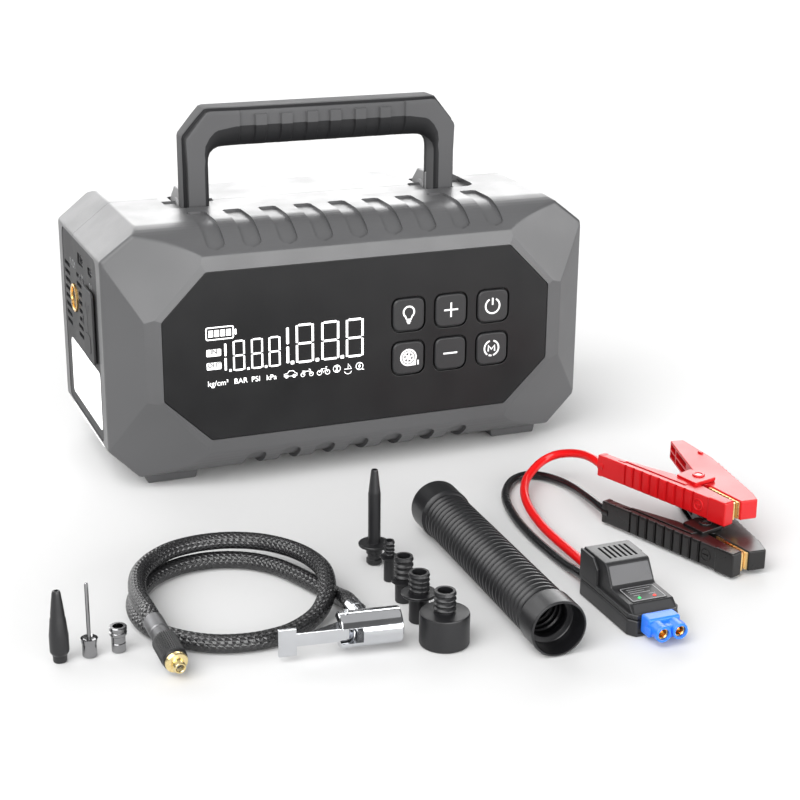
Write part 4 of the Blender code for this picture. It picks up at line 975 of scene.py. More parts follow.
def digit(x, z, width, height, thick, segments="abcdefg"):
    """Seven-segment figure with pointed bars; x, z is its lower left corner."""
    half, gap = thick / 2, thick * 0.42
    left, right = x + half, x + width - half
    middle, top = z + height / 2, z + height

    def level(at):
        tip, shoulder = thick * 0.55 + gap, thick + gap
        return [(x + tip, at), (x + shoulder, at + half), (x + width - shoulder, at + half),
                (x + width - tip, at), (x + width - shoulder, at - half), (x + shoulder, at - half)]

    def upright(at, low, high):
        shoulder = thick * 0.6
        return [(at - half, low + shoulder), (at, low + gap), (at + half, low + shoulder),
                (at + half, high - shoulder), (at, high - gap), (at - half, high - shoulder)]

    bars = {"a": level(top - half), "g": level(middle), "d": level(z + half),
            "f": upright(left, middle, top), "b": upright(right, middle, top),
            "e": upright(left, z, middle), "c": upright(right, z, middle)}
    return [bars[segment] for segment in segments]


def display_shapes():
    """Figures, points, battery bars and the two tags, as filled outlines."""
    shapes = digit(-84.4, 72.2, 1.4, 17.2, 1.25, "bc")
    for x in (-79.2, -68.4, -57.9):
        shapes += digit(x, 71.8, 7.1, 18.3, 1.0)
    shapes += digit(-47.4, 72.2, 1.8, 23.0, 1.6, "bc")
    for x in (-41.4, -25.8, -10.6):
        shapes += digit(x, 72.1, 11.0, 23.7, 1.3)
    for x, z, half in ((-80.9, 72.5, 0.75), (-70.2, 72.4, 0.75), (-59.6, 72.4, 0.75),
                       (-43.6, 73.0, 1.05), (-28.3, 73.0, 1.05), (-12.9, 73.0, 1.05)):
        shapes.append(square(x, z, half, 0.4, 2))
    shapes += [rectangle(x, x + 2.7, 93.4, 97.3) for x in (-93.3, -89.8, -86.3, -82.8)]
    shapes.append(rounded_box(-77.9, -76.9, 93.6, 97.0, 0.4, 2))
    shapes += [rounded_box(-94.8, -86.2, z, z + 4.2, 0.7) for z in (81.9, 74.0)]
    return shapes


def make_display(look):
    """Lit figures, unit names and icons on the panel, and the words on the two tags."""
    y = PANEL_Y - 0.02
    case = [(rounded_box(-94.6, -78.7, 91.8, 98.9, 0.9), True)]
    parts = [plates("bars", display_shapes(), 0.1, front_view(y)), glyph("battery", case, 0.7, front_view(y))]
    for words, x, size in UNIT_NAMES:
        parts.append(lettering("unit", words, size, front_view(y, x, 63.2)))
    parts += small_icons(y)
    finish(merge("display_print", *parts), look["glow"], "unit")
    tags = [lettering("in", "IN", 3.9, front_view(y - 0.22, -92.5, 82.6), 0.09),
            lettering("out", "OUT", 3.7, front_view(y - 0.22, -94.4, 74.7), 0.09)]
    finish(merge("display_tags", *tags), look["gap"], "unit")


def wheel(x, radius):
    return circle(x, -1.3, radius, 12), True


def small_icons(y):
    """Car, motorcycle, bicycle, ball, boat and fan in thin lines."""
    car = [wheel(-2.4, 0.9), wheel(2.2, 0.9),
           ([(-3.9, -1.2), (-3.9, 0.2), (-1.9, 0.6), (-0.9, 1.9), (1.7, 1.9), (2.9, 0.5), (3.9, 0.1),
             (3.9, -1.2)], True)]
    motorcycle = [wheel(-2.6, 1.2), wheel(2.6, 1.2),
                  ([(-2.6, -1.3), (-0.8, 0.6), (1.6, 0.5), (2.6, -1.3)], False),
                  ([(1.0, 1.9), (1.9, 1.5), (2.6, -1.3)], False), ([(-3.0, 1.0), (-0.8, 0.6)], False)]
    bicycle = [wheel(-2.5, 1.4), wheel(2.5, 1.4),
               ([(-2.5, -1.3), (-1.2, 1.0), (1.6, 1.0), (0.0, -1.3), (-1.2, 1.0)], False),
               ([(2.5, -1.3), (1.4, 2.0), (2.3, 2.0)], False)]
    ball = [(circle(0, 0, 2.2, 18), True), (arc(-2.2, 0, 2.0, -55, 55, 8), False),
            (arc(2.2, 0, 2.0, 125, 235, 8), False), ([(0, -2.2), (0, 2.2)], False)]
    boat = [(arc(0, -1.6, 2.4, 200, 340, 8), False), ([(-2.3, -0.9), (2.3, -0.9)], False),
            ([(0, -0.9), (0, 2.3), (1.9, -0.4)], False)]
    fan = [(circle(0, 0, 2.2, 18), True), (circle(0, 0, 0.5, 8), True),
           (arc(1.1, 0.6, 1.1, 60, 240, 8), False), (arc(-1.1, -0.6, 1.1, 240, 420, 8), False),
           ([(1.6, -2.2), (2.9, -2.2)], False)]
    row = ((-44.8, car), (-34.7, motorcycle), (-24.6, bicycle), (-16.3, ball), (-9.3, boat), (-2.1, fan))
    return [glyph("icon", strokes, 0.4, front_view(y - 0.03, x, 66.1)) for x, strokes in row]


# ---------------------------------------------------------------- handle
HEEL = ((-12.0, 9.0), (-10.0, 11.2), (6.0, 11.2), (15.3, 2.4), (15.3, -4.0), (7.0, -11.4), (-6.0, -11.4),
        (-12.0, -5.0))
GRIP_PADS = tuple(-39.3 + 16.0 * index for index in range(3))


def handle_stations():
    """Outer point, inner point, underside radius, pad height and channel edge along the handle."""
    top, low = GRIP_TOP, GRIP_LOW
    side = [((-LEG_OUT, z), (-LEG_IN, z), 2.2, 0.0, -1.6) for z in (151.0, 160.0, 176.0)]
    side += [((-LEG_OUT, 193.6), (-LEG_IN, 178.5), 2.6, 0.0, -1.6),
             ((-LEG_OUT + 0.5, 195.4), (-LEG_IN + 0.5, 181.6), 3.6, 0.0, -1.7),
             ((-LEG_OUT + 4.6, 200.3), (-LEG_IN + 2.0, 184.0), 6.0, 0.0, -2.2),
             ((-LEG_OUT + 9.4, 206.0), (-LEG_IN + 4.8, 185.7), 8.6, 0.0, -3.0),
             ((-LEG_OUT + 13.4, top - 0.6), (-LEG_IN + 8.0, low - 0.1), 10.8, 0.0, -4.0),
             ((-LEG_OUT + 15.6, top), (-LEG_IN + 11.0, low), 12.0, 0.0, -5.0),
             ((-55.0, top), (-55.0, low), 12.8, 0.0, -6.0),
             ((-52.6, top), (-52.6, low), 12.8, 0.0, -6.0),
             ((-52.0, top), (-52.0, low), 12.8, -1.7, -6.0)]
    for x in GRIP_PADS:
        for at, lift in ((-3.9, -1.7), (-3.3, 0.15), (3.3, 0.15), (3.9, -1.7)):
            side.append(((x + at, top), (x + at, low), 12.8, lift, -6.0))
    mirrored = [((-a[0], a[1]), (-b[0], b[1]), *rest) for a, b, *rest in reversed(side)]
    return side + mirrored


def handle_section(outer, inner, radius, lift, rim):
    """Closed section: side face, channel, front core, rolled inner corner and back."""
    outer, inner = Vector(outer), Vector(inner)
    across = inner - outer
    width = across.length
    across.normalize()
    front, back = LEG_FRONT, LEG_REAR
    border = front + (1.7 if lift else 0.0)
    flat = [(0.0, back - 2.6), (0.0, rim), (0.5, rim - 0.8), (1.2, rim - 0.8), (2.0, rim - 1.8),
            (2.0, border + 0.9), (2.6, border + 0.2), (3.6, border), (4.6, border), (5.0, front - lift),
            (width - radius - 0.4, front - lift)]
    for step in range(1, 7):
        angle = math.pi / 2 * step / 6
        flat.append((width - radius + radius * math.sin(angle), front - lift * (1 - step / 6)
                     + radius * (1 - math.cos(angle))))
    flat += [(width, back - 6.2), (width - 1.0, back - 5.2), (width - 1.0, back - 3.2), (width, back - 2.2),
             (width - 1.4, back), (2.6, back), (0.8, back - 0.8)]
    points = []
    for distance, y in flat:
        place = outer + across * distance
        points.append((place.x, y, place.y))
    return points


def make_handle(look):
    """Grip whose channel and rolled inner corner carry painted shade, and a heel and trunnion at each leg."""
    sections = [handle_section(*station) for station in handle_stations()]
    # strips tagged 1 take the near-black paint, painted shade in the channel and on the rolled inner corner
    tags = [0, 0, 1, 1, 1, 2, 2, 2, 2, 2] + [1] * 6 + [0] * 8
    grip = loft("handle_grip", sections, tags)
    for side, label in ((-1, "left"), (1, "right")):
        x_low = min(side * LEG_IN, side * LEG_OUT) + 0.4
        heel = prism("heel", HEEL, LEG_OUT - LEG_IN - 0.8, side_view(x_low, SEAM_Y, HINGE_Z))
        pin = rod("pin", (side * 64.5, SEAM_Y, HINGE_Z), (side * 98.0, SEAM_Y, HINGE_Z), 3.0, 24)
        cap = rod("cap", (side * 71.2, SEAM_Y, HINGE_Z), (side * 87.2, SEAM_Y, HINGE_Z), 5.2, 32)
        heel = merge("handle_heel_" + label, bevel(heel, 0.8, 3, 25), bevel(cap, 0.5, 2))
        finish(heel, look["bracket"], "carry_handle")
        finish(pin, look["grip"], "carry_handle")
    paints = (look["handle"], look["handle_shade"], look["grip"])
    finish(grip, paints, "carry_handle", "handle", smooth=28.0)


# ---------------------------------------------------------------- sides and back of the unit
def plate_body(name, x_low):
    """Blank end plate that starts at x_low."""
    face = rounded_box(-47.2, 46.7, 27.3, 135.7, 5.7)
    return bevel(prism(name, face, 3.4, side_view(x_low)), 0.5, 3, 50)


def make_left_plate(look):
    """Plate with the ports' openings and two columns of air slots beside the outlet."""
    plate = plate_body("left_plate", -149.6)
    outside = side_view(-158)
    front, rear, low, high = LENS
    lens_hole = rounded_box(front - GAP, rear + GAP, low - GAP, high + GAP, 4.0)
    front, rear, low, high = FLAP
    tools = [prism("cut", lens_hole, 20, outside),
             prism("cut", rounded_box(-10.4, 3.8, 122.6, 129.4, 0.8), 20, outside),
             prism("cut", rounded_box(-34.6, -23.8, 122.5, 127.5, 2.2), 20, outside),
             rod("cut", (-158, OUTLET_Y, OUTLET_Z), (-138, OUTLET_Y, OUTLET_Z), 8.9, 48),
             box("cut", (-158, front + 4, low + 6), (-138, rear - 3, high - 6))]
    carve(plate, *tools)
    slots = []
    for index in range(8):
        z = 77.0 + index * 5.2
        near_ring = abs(z + 1.2 - OUTLET_Z) < 10.5
        for start, end in ((-11.5, 5.6 if near_ring else 9.5), (28.6, 43.5)):
            slots.append(prism("slot", rounded_box(start, end, z, z + 2.6, 1.2), 3.0, side_view(-150.6)))
    carve(plate, *slots)
    finish(plate, look["plate"], "unit", "side_panel_left")


def make_work_light(look):
    """Milky lens of the lamp, and a glowing strip on the chamfer below it that is a painted highlight."""
    lens = prism("light_lens", rounded_box(*LENS, 3.6, 6), 3.2, side_view(-149.9))
    finish(bevel(lens, 0.6, 3, 50), look["lens"], "unit", "led_lens")
    # glowing strip on the chamfer: a painted highlight of the lit bevel, not part of the lamp
    outline = [(-40.0, -0.8), (43.6, -0.8), (42.4, -4.0), (-38.0, -4.0)]
    strip = prism("light_strip", outline, 0.8, frame_at((0, -1, 0), (-0.7, 0, 0.714), (-149.5, 0, 25.4)))
    finish(strip, look["lens"], "unit")


def make_outlet(look):
    """Brass ring of the compressor's outlet round a black throat."""
    line = frame_at((0, 0, 1), (0, 1, 0), (-135.9, OUTLET_Y, OUTLET_Z))
    ring = [(8.5, 14.7), (8.3, 14.85), (7.3, 14.85), (6.9, 14.5), (6.7, 13.0), (6.7, 9.0), (5.0, 7.0),
            (3.0, 6.4), (3.0, 0.0), (6.0, 0.0), (6.0, 2.0), (7.2, 2.0), (7.2, 10.6), (8.5, 11.0)]
    finish(lathe("outlet_ring", ring, line, 56, True), look["brass"], "unit", "air_outlet")
    throat = [(6.5, 13.6), (3.6, 13.2), (3.2, 7.0), (4.6, 7.0), (6.5, 10.0)]
    finish(lathe("outlet_throat", throat, line, 48, True), look["black"], "unit")


def make_left_side(look):
    """Plate, work light, outlet, flap and ports, and the small signs beside them."""
    make_left_plate(look)
    make_work_light(look)
    make_outlet(look)
    make_flap(look)
    make_ports(look)
    marks = [([(-2.0, 113.6), (0.0, 116.4), (2.0, 113.6)], False), ([(-6.0, 113.6), (-6.0, 118.0)], False),
             ([(-9.4, 113.6), (-9.4, 118.0), (-7.6, 116.0)], False),
             (circle(-28.8, 117.0, 1.4, 14), True), ([(-33.0, 115.6), (-33.0, 118.6)], False),
             (circle(17.0, 119.0, 2.2, 18), True), ([(12.0, 117.0), (12.0, 121.0), (14.0, 119.0)], False),
             ([(22.0, 117.0), (24.4, 121.0)], False), ([(26.0, 117.0), (26.0, 121.0)], False)]
    finish(glyph("side_marks", marks, 0.55, side_view(-149.75)), look["outline"], "unit")


def make_flap(look):
    """Rubber flap with a raised picture of a plug and its two leads."""
    front, rear = FLAP[:2]
    middle = (front + rear) / 2
    flap = bevel(prism("flap_sheet", rounded_box(*FLAP, 3.0, 5), 1.5, side_view(-151.8)), 0.4, 3, 50)
    plug = rounded_box(middle - 6.4, middle + 6.4, 77.0, 88.0, 3.0, 5)
    emblem = bevel(prism("emblem", plug, 0.5, side_view(-152.2)), 0.2, 2, 50)
    leads = [(circle(middle, 82.5, 3.0, 20), True),
             ([(middle, 88.0), (middle, 99.0), (middle - 4.5, 106.0)], False),
             ([(middle, 99.0), (middle + 4.5, 106.0)], False)]
    lines = glyph("emblem_lines", leads, 1.4, side_view(-151.9))
    tab = prism("tab", rounded_box(rear - 2.0, rear + 1.6, 90.0, 97.0, 1.4), 1.2, side_view(-151.8))
    finish(merge("flap_skin", flap, emblem, lines, tab), look["rubber"], "flap", "socket_flap")


def make_ports(look):
    """Charging ports behind the plate and the socket under the flap."""
    usb = prism("usb_a_shell", rounded_box(-9.9, 3.3, 123.1, 128.9, 0.6), 13.2, side_view(-148.7))
    carve(usb, box("mouth", (-152, -9.5, 123.5), (-138.9, 2.9, 128.5)))
    tongue = box("tongue", (-148.0, -8.6, 126.0), (-138.9, 2.0, 127.6))
    usb_c = prism("usb_c_shell", rounded_box(-33.8, -24.6, 123.3, 126.7, 1.6, 6), 13.2, side_view(-148.7))
    carve(usb_c, prism("mouth", rounded_box(-33.4, -25.0, 123.7, 126.3, 1.2, 6), 9.2, side_view(-149.7)))
    blade = box("blade", (-147.6, -32.2, 124.7), (-140.6, -26.2, 125.3))
    board = box("port_board", (-135.9, -37.0, 116.0), (-134.3, 9.0, 134.0))
    finish(merge("port_shells", usb, usb_c, board), look["steel"], "unit", "usb_module")
    finish(merge("port_tongues", tongue, blade), look["black"], "unit")
    make_jump_socket(look)


def make_jump_socket(look):
    """Blue two-pole socket behind the flap, with a brass pin in each bore."""
    front, rear, low, high = FLAP
    middle = (front + rear) / 2 + 0.5
    outline = rounded_box(front + 4.4, rear - 3.4, low + 6.4, high - 6.4, 2.0)
    socket = bevel(prism("jump_socket_skin", outline, 19.2, side_view(-149.1)), 0.4, 2, 50)
    bores = []
    pins = []
    for z in (85.5, 101.5):
        bores.append(rod("bore", (-152, middle, z), (-134.9, middle, z), 4.4, 32))
        pins.append(rod("socket_pin", (-146.5, middle, z), (-134.9, middle, z), 2.4, 24))
    carve(socket, *bores)
    finish(socket, look["blue"], "unit", "jump_socket")
    pins = [bevel(pin, 0.6, 3, 50) for pin in pins]
    finish(merge("jump_socket_pins", *pins), look["brass"], "unit")


def make_right_side(look):
    """Plate with the blower's outlet between two columns of intake slots."""
    plate = plate_body("right_plate", 146.2)
    ring = [(14.6, 0.0), (19.5, 0.0), (19.5, 0.9), (18.6, 1.5), (15.6, 1.5), (14.6, 0.9)]
    rim = lathe("rim", ring, side_view(148.4, 0.0, BLOWER_Z), 64, True)
    carve(plate, rod("bore", (140, 0, BLOWER_Z), (156, 0, BLOWER_Z), 15.2, 64))
    slots = []
    for index in range(5):
        z = 66.0 + index * 8.0
        for low, high in ((-41.0, -25.0), (25.0, 41.0)):
            slots.append(prism("slot", rounded_box(low, high, z, z + 3.0, 1.4), 3.0, side_view(148.0)))
    carve(plate, *slots)
    screws = [(y, z) for y in (-39.5, 39.0) for z in (35.0, 128.0)]
    carve(plate, *[rod("hole", (148.2, y, z), (152, y, z), 2.6, 32) for y, z in screws])
    finish(merge("right_plate_skin", plate, rim), look["plate"], "unit", "side_panel_right")
    wall = [(16.8, 0.0), (16.8, 17.0), (14.6, 17.0), (14.6, 1.6), (10.5, 1.6), (10.5, 0.0)]
    cup = lathe("port_cup", wall, side_view(131.8, 0.0, BLOWER_Z), 64, True)
    level = box("vane", (131.8, -10.7, 83.4), (134.4, 10.7, 84.6))
    upright = box("vane", (131.8, -0.6, 73.4), (134.4, 0.6, 94.6))
    finish(merge("port_grille", cup, level, upright), look["black"], "unit")
    heads = [bevel(rod("screw", (147.6, y, z), (149.0, y, z), 2.3, 32), 0.3, 2, 50) for y, z in screws]
    finish(merge("plate_screws", *heads), look["steel"], "unit")


def make_back(look):
    """Blank rating plate and the screws that hold the two shells together."""
    plate = prism("rating_plate_sheet", rounded_box(-45.0, 45.0, 66.0, 102.0, 3.0), 0.5, back_view(74.8))
    finish(bevel(plate, 0.15, 2, 50), look["panel"], "unit")
    rows = ((96.0, 34.0), (90.0, 60.0), (84.0, 52.0), (78.0, 66.0), (72.0, 40.0))
    lines = [([(-40.0, z), (-40.0 + width, z)], False) for z, width in rows]
    finish(glyph("rating_marks", lines, 0.9, back_view(75.35)), look["outline"], "unit")
    head = [(0.0, 0.2), (2.6, 0.2), (3.0, 0.8), (4.0, 0.8), (4.6, 0.5), (4.6, 0.0)]
    heads = []
    for x in (-106.0, 106.0):
        for z in (56.0, 108.0):
            heads.append(lathe("screw", head, back_view(74.6, x, z), 36))
    finish(merge("back_screws", *heads), look["black"], "unit")


# ---------------------------------------------------------------- cords and the jump lead
def make_cords(look):
    """The two battery cables and the braided hose, each along its own route."""
    made = {}
    cords = (("red_cable", RED_ROUTE, CABLE_DIAMETER, "jacket_red", "red_rubber", "jump_lead"),
             ("black_cable", BLACK_ROUTE, CABLE_DIAMETER, "jacket_black", "rubber", "jump_lead"),
             ("air_hose", HOSE_ROUTE, HOSE_DIAMETER, "braid", "braid", "air_line"))
    for name, route, diameter, paint, slot, body in cords:
        if name == "air_hose":
            path = smooth_route(route, 0.8)
            skin = tube(name + "_skin", path, diameter / 2 - BRAID_RISE, 56, weave)
        else:
            path = smooth_route(route, 2.0)
            skin = tube(name + "_skin", path, diameter / 2, 28)
        finish(skin, look[paint], body, name, smooth=60.0)
        run = sum((b - a).length for a, b in zip(path, path[1:]))
        made[name] = (skin, [tuple(ROW @ point) for point in path], run * MM, diameter * MM)
    return made


def weave(around, run):
    """Height of the braid's crossing strands over the hose's surface."""
    first = around * BRAID_STARTS + run / BRAID_PITCH
    second = around * BRAID_STARTS - run / BRAID_PITCH
    over = (math.floor(first) + math.floor(second)) % 2
    strand = first if over else second
    return BRAID_RISE * math.sin(math.pi * (strand % 1.0))


# clamp outlines in the clamp's own plan: x from the cable towards the jaws, y across
ARM = ((0.0, 0.2), (1.0, 0.0), (93.0, 0.0), (93.0, 7.0), (66.0, 11.2), (45.0, 11.4), (16.0, 5.8), (0.0, 5.4))
ARM_CHANNEL = ((13.0, 1.8), (18.0, 2.0), (20.0, 3.2), (62.0, 3.2), (62.0, 3.9), (19.5, 3.9), (13.0, 2.6))
ARM_RAISED = ((17.0, 4.2), (20.0, 3.9), (61.0, 3.9), (63.0, 10.6), (46.0, 10.6), (17.4, 5.3))
PIVOT_TAB = ((50.5, 9.0), (66.0, 7.2), (67.0, 22.5), (63.5, 24.0), (50.0, 21.0))
LEVER = ((8.8, 51.0), (47.0, 26.3), (51.0, 20.0), (55.4, 14.6), (59.0, 13.0), (63.0, 13.6), (67.0, 16.0),
         (94.5, 11.2), (98.0, 20.5), (90.0, 26.0), (42.0, 49.3), (12.4, 58.0))
LEVER_RIBS = 9
FIRST_RIB, LAST_RIB = Vector((46.0, 47.6)), Vector((88.0, 26.9))
GRIP_GROOVES = 9
GRIP_PITCH = 6.2
JAW_TEETH = 9


def zigzag(start, end, depth, teeth, side):
    """Outline of a toothed strip between two points."""
    start, end = Vector(start), Vector(end)
    step = (end - start) / teeth
    across = Vector((-step.y, step.x)).normalized() * side
    points = [tuple(start - across), tuple(end - across), tuple(end)]
    for index in range(teeth, 0, -1):
        points += [tuple(start + step * (index - 0.5) + across * depth), tuple(start + step * (index - 1))]
    return points


def raised(base, z):
    """The same frame, z mm further along its local Z."""
    return base @ Matrix.Translation((0, 0, z))


def clamp_sign(base, plus):
    """Ringed plus or minus on the arm's outer face."""
    strokes = [(circle(74.6, 8.0, 3.1, 28), True), ([(72.9, 8.0), (76.3, 8.0)], False)]
    if plus:
        strokes.append(([(74.6, 6.3), (74.6, 9.7)], False))
    return glyph("sign", strokes, 0.9, base @ front_view(0.0), rise=1.1)


def clamp_boss(base):
    """Round boss with a shallow pit where the pin ends."""
    low, high = (base @ Vector((*CLAMP_PIVOT, z)) for z in (15.6, 16.8))
    boss = bevel(rod("boss", low, high, 3.4, 36), 0.4, 3)
    pit = rod("pit", base @ Vector((*CLAMP_PIVOT, 16.3)), base @ Vector((*CLAMP_PIVOT, 18)), 2.2, 32)
    return carve(boss, pit)


def clamp_arm(colour, base):
    """Fixed half: ribbed grip, nose, collar, sign and the pin's two tabs."""
    arm = bevel(prism(colour + "_arm_skin", ARM, 12.4, raised(base, 1.8)), 0.7, 3, 40)
    grooves = []
    bands = []
    for index in range(GRIP_GROOVES):
        x = index * GRIP_PITCH
        grooves.append(box("groove", (20.2 + x, -1.0, -2.0), (21.6 + x, 0.8, 15.9), base))
        if index < GRIP_GROOVES - 1:
            band = box("band", (22.0 + x, -0.35, 2.6), (25.9 + x, 1.0, 13.4), base)
            bands.append(bevel(band, 0.3, 2, 40))
    carve(arm, *grooves)
    carve(arm, prism("channel", ARM_CHANNEL, 2.0, raised(base, 13.5)))
    field = bevel(prism("raised", ARM_RAISED, 1.0, raised(base, 13.7)), 0.3, 2, 50)
    nose = bevel(box("nose", (81.0, -0.5, 1.2), (93.3, 6.9, 14.8), base), 0.9, 3, 40)
    collar = bevel(box("collar", (-0.2, -0.2, 1.6), (3.0, 5.6, 14.4), base), 0.6, 2, 40)
    sign = clamp_sign(base, colour == "red")
    gland = rod("gland", base @ Vector((-0.4, 2.7, 8.0)), base @ Vector((4.0, 2.7, 8.0)), 3.3, 32)
    tab = rounded(PIVOT_TAB, 1.2)
    tabs = [bevel(prism("tab", tab, 2.2, raised(base, z)), 0.4, 2, 50) for z in (0.0, 13.8)]
    parts = [arm, field, nose, collar, sign, gland, clamp_boss(base), *bands, *tabs]
    return merge(colour + "_arm_body", *parts)


def lever_pockets(base):
    """Four pockets in the lever's inner side, which leave its cross ribs."""
    inner_side = base @ frame_at((38.2, -24.7, 0), (24.7, 38.2, 0), (8.8, 51.0, 0))
    pockets = []
    for low, high in ((3.9, 7.5), (8.5, 12.1)):
        for start, end, depth in ((1.6, 11.5, 5.2), (13.0, 33.0, 7.5)):
            pockets.append(box("pocket", (start, -1.0, low), (end, depth, high), inner_side))
    return pockets


def clamp_lever(colour, base):
    """Moving half: hollow thumb end with ribs along its outer edge."""
    lever = bevel(prism(colour + "_lever_skin", LEVER, 11.0, raised(base, 2.5)), 0.7, 3, 40)
    carve(lever, *lever_pockets(base))
    row = LAST_RIB - FIRST_RIB
    slant = Matrix.Rotation(math.atan2(row.y, row.x), 4, "Z")
    ribs = []
    for index in range(LEVER_RIBS):
        at = FIRST_RIB.lerp(LAST_RIB, (index + 0.5) / LEVER_RIBS)
        place = base @ Matrix.Translation((at.x, at.y, 0)) @ slant
        ribs.append(bevel(box("rib", (-0.9, -0.8, 3.4), (0.9, 0.9, 12.6), place), 0.3, 2, 40))
    place = base @ Matrix.Translation((33.0, 49.4, 0)) @ Matrix.Rotation(-0.28, 4, "Z")
    stub = bevel(box("stub", (-1.6, -1.0, 13.2), (1.6, 0.9, 14.4), place), 0.3, 2)
    return merge(colour + "_lever_body", lever, stub, *ribs)


def make_clamp(look, colour, place):
    """One clamp: its arm rides with the lead, its lever on a body of its own."""
    base = Matrix.Translation(place) @ Matrix.Rotation(CLAMP_ANGLE, 4, "Z")
    paint = look["red"] if colour == "red" else look["clamp_black"]
    arm_body, lever_body = "jump_lead", colour + "_lever"
    finish(clamp_arm(colour, base), paint, arm_body, colour + "_clamp_arm")
    finish(clamp_lever(colour, base), paint, lever_body, colour + "_clamp_lever")
    low, high = (base @ Vector((*CLAMP_PIVOT, z)) for z in (0.2, 16.4))
    pin = bevel(rod(colour + "_pin_skin", low, high, 2.0, 32), 0.4, 3)
    finish(pin, look["steel"], arm_body, colour + "_clamp_pin")
    for part, body, start, end, side in (("arm", arm_body, (68.2, 12.0), (92.8, 8.2), 1),
                                         ("lever", lever_body, (69.0, 14.6), (93.4, 10.6), -1)):
        teeth = zigzag(start, end, 0.9, JAW_TEETH, side)
        strip = prism(colour + "_teeth_" + part, teeth, 9.4, raised(base, 3.3))
        finish(strip, look["copper"], body, colour + "_jaw_" + part)
    endings = ("_arm_body", "_lever_body", "_pin_skin", "_teeth_arm", "_teeth_lever")
    return [colour + ending for ending in endings]


# box on the lead, in plan and from the side
BOX_MIDDLE_X = 56.7
BOX_PLAN = ((45.6, -326.0), (67.9, -326.0), (71.0, -321.8), (71.0, -273.4), (69.2, -271.0), (44.3, -271.0),
            (42.5, -273.4), (42.5, -321.8))
BOX_HUMP = ((-324.8, 9.6), (-324.4, 10.6), (-319.8, 15.0), (-302.8, 15.2), (-301.6, 15.8), (-295.4, 25.3),
            (-293.8, 26.0), (-273.2, 26.0), (-271.7, 24.2), (-271.4, 9.6))
BOX_CHEEK = ((-271.8, 9.4), (-271.8, 25.0), (-285.0, 25.0), (-289.8, 20.4), (-289.8, 9.4))


def make_smart_box(look):
    """Box on the lead with its cover, grey plates of painted reflection, label and plug."""
    make_box_tub(look)
    make_box_cover(look)
    make_box_reflection_plates(look)
    make_box_label(look)
    make_plug(look)


def make_box_tub(look):
    tub = bevel(prism("box_tub", BOX_PLAN, 8.6, plan_view(0.0)), 0.9, 3, 25)
    carve(tub, box("seat", (46.6, -327.5, 1.6), (66.4, -325.2, 8.8)))
    glands = [rod("gland", (x, -274.0, 5.4), (x, -270.75, 5.4), 3.2, 28) for x in (56.6, 49.4)]
    finish(merge("box_tub_skin", tub, *glands), look["box"], "jump_lead", "smart_box_base")


def make_box_cover(look):
    """Skirt just inside the tub's edge, stepped hump with air slots, and two cheeks."""
    middle_x, middle_y = 56.75, -298.5
    rim = [(middle_x + (x - middle_x) * 0.985, middle_y + (y - middle_y) * 0.992) for x, y in BOX_PLAN]
    skirt = bevel(prism("skirt", rim, 2.6, plan_view(8.9)), 0.7, 3, 25)
    hump = bevel(prism("hump", BOX_HUMP, 24.6, side_view(44.4)), 1.1, 3, 24)
    edges = [49.4 + index * 2.9 for index in range(6)]
    carve(hump, *[box("slot", (x, -290.6, 23.4), (x + 1.4, -277.0, 28.0)) for x in edges])
    cheeks = [bevel(prism("cheek", BOX_CHEEK, 1.6, side_view(x)), 0.5, 3, 30) for x in (42.8, 69.1)]
    cover = merge("box_cover_skin", skirt, hump, *cheeks)
    finish(cover, look["box"], "jump_lead", "smart_box_cover", smooth=28.0)


def make_box_reflection_plates(look):
    """Grey plate on the hump's slope and a darker one on its nose, both painted reflection."""
    slope = frame_at((1, 0, 0), (0, 6.2, 9.5), (BOX_MIDDLE_X, -298.5, 20.5))
    outline = rounded([(-11.3, -4.9), (11.3, -4.9), (10.9, 4.7), (-10.9, 4.7)], 0.7)
    window = bevel(prism("box_window", outline, 0.35, slope), 0.12, 2, 50)
    # grey plate on the slope: painted reflection
    finish(window, look["window"], "jump_lead")
    nose = frame_at((1, 0, 0), (0, 4.6, 4.4), (BOX_MIDDLE_X, -322.05, 12.85))
    outline = rounded([(-11.2, -2.5), (11.2, -2.5), (10.4, 2.4), (-10.4, 2.4)], 0.5)
    lower = bevel(prism("box_front", outline, 0.3, nose), 0.1, 2, 50)
    # darker grey plate on the nose: painted reflection
    finish(lower, look["nose"], "jump_lead")


def make_box_label(look):
    """Glossy label with blank bars, and the two lamps on it."""
    tilt = frame_at((1, 0, 0), (0, 17.0, 0.2), (BOX_MIDDLE_X, -311.2, 15.08))
    sheet = bevel(prism("label_sheet", rounded_box(-9.8, 9.8, -7.6, 7.4, 0.8), 0.35, tilt), 0.1, 2, 50)
    finish(sheet, look["panel"], "jump_lead", "label_plate")
    strokes = [(rounded_box(-9.0, 9.0, -6.9, 6.7, 0.8, 2), True)]
    bars = ((-6.6, 4.6, 13.0), (-6.6, 2.6, 9.0), (-6.6, 0.6, 11.0), (-6.0, -1.8, 3.6), (2.4, -1.8, 3.6))
    for x, y, width in bars:
        strokes.append(([(x, y), (x + width, y)], False))
    finish(glyph("label_lines", strokes, 0.4, raised(tilt, 0.4)), look["outline"], "jump_lead")
    dome = [(0.0, 0.7), (0.5, 0.6), (0.9, 0.2), (1.0, 0.0), (0.0, 0.0)]
    for name, x, paint in (("led_ready", -4.2, "green_led"), ("led_fault", 4.2, "red_led")):
        lamp = lathe(name, dome, tilt @ Matrix.Translation((x, -4.4, 0.2)), 24)
        finish(lamp, look[paint], "jump_lead")


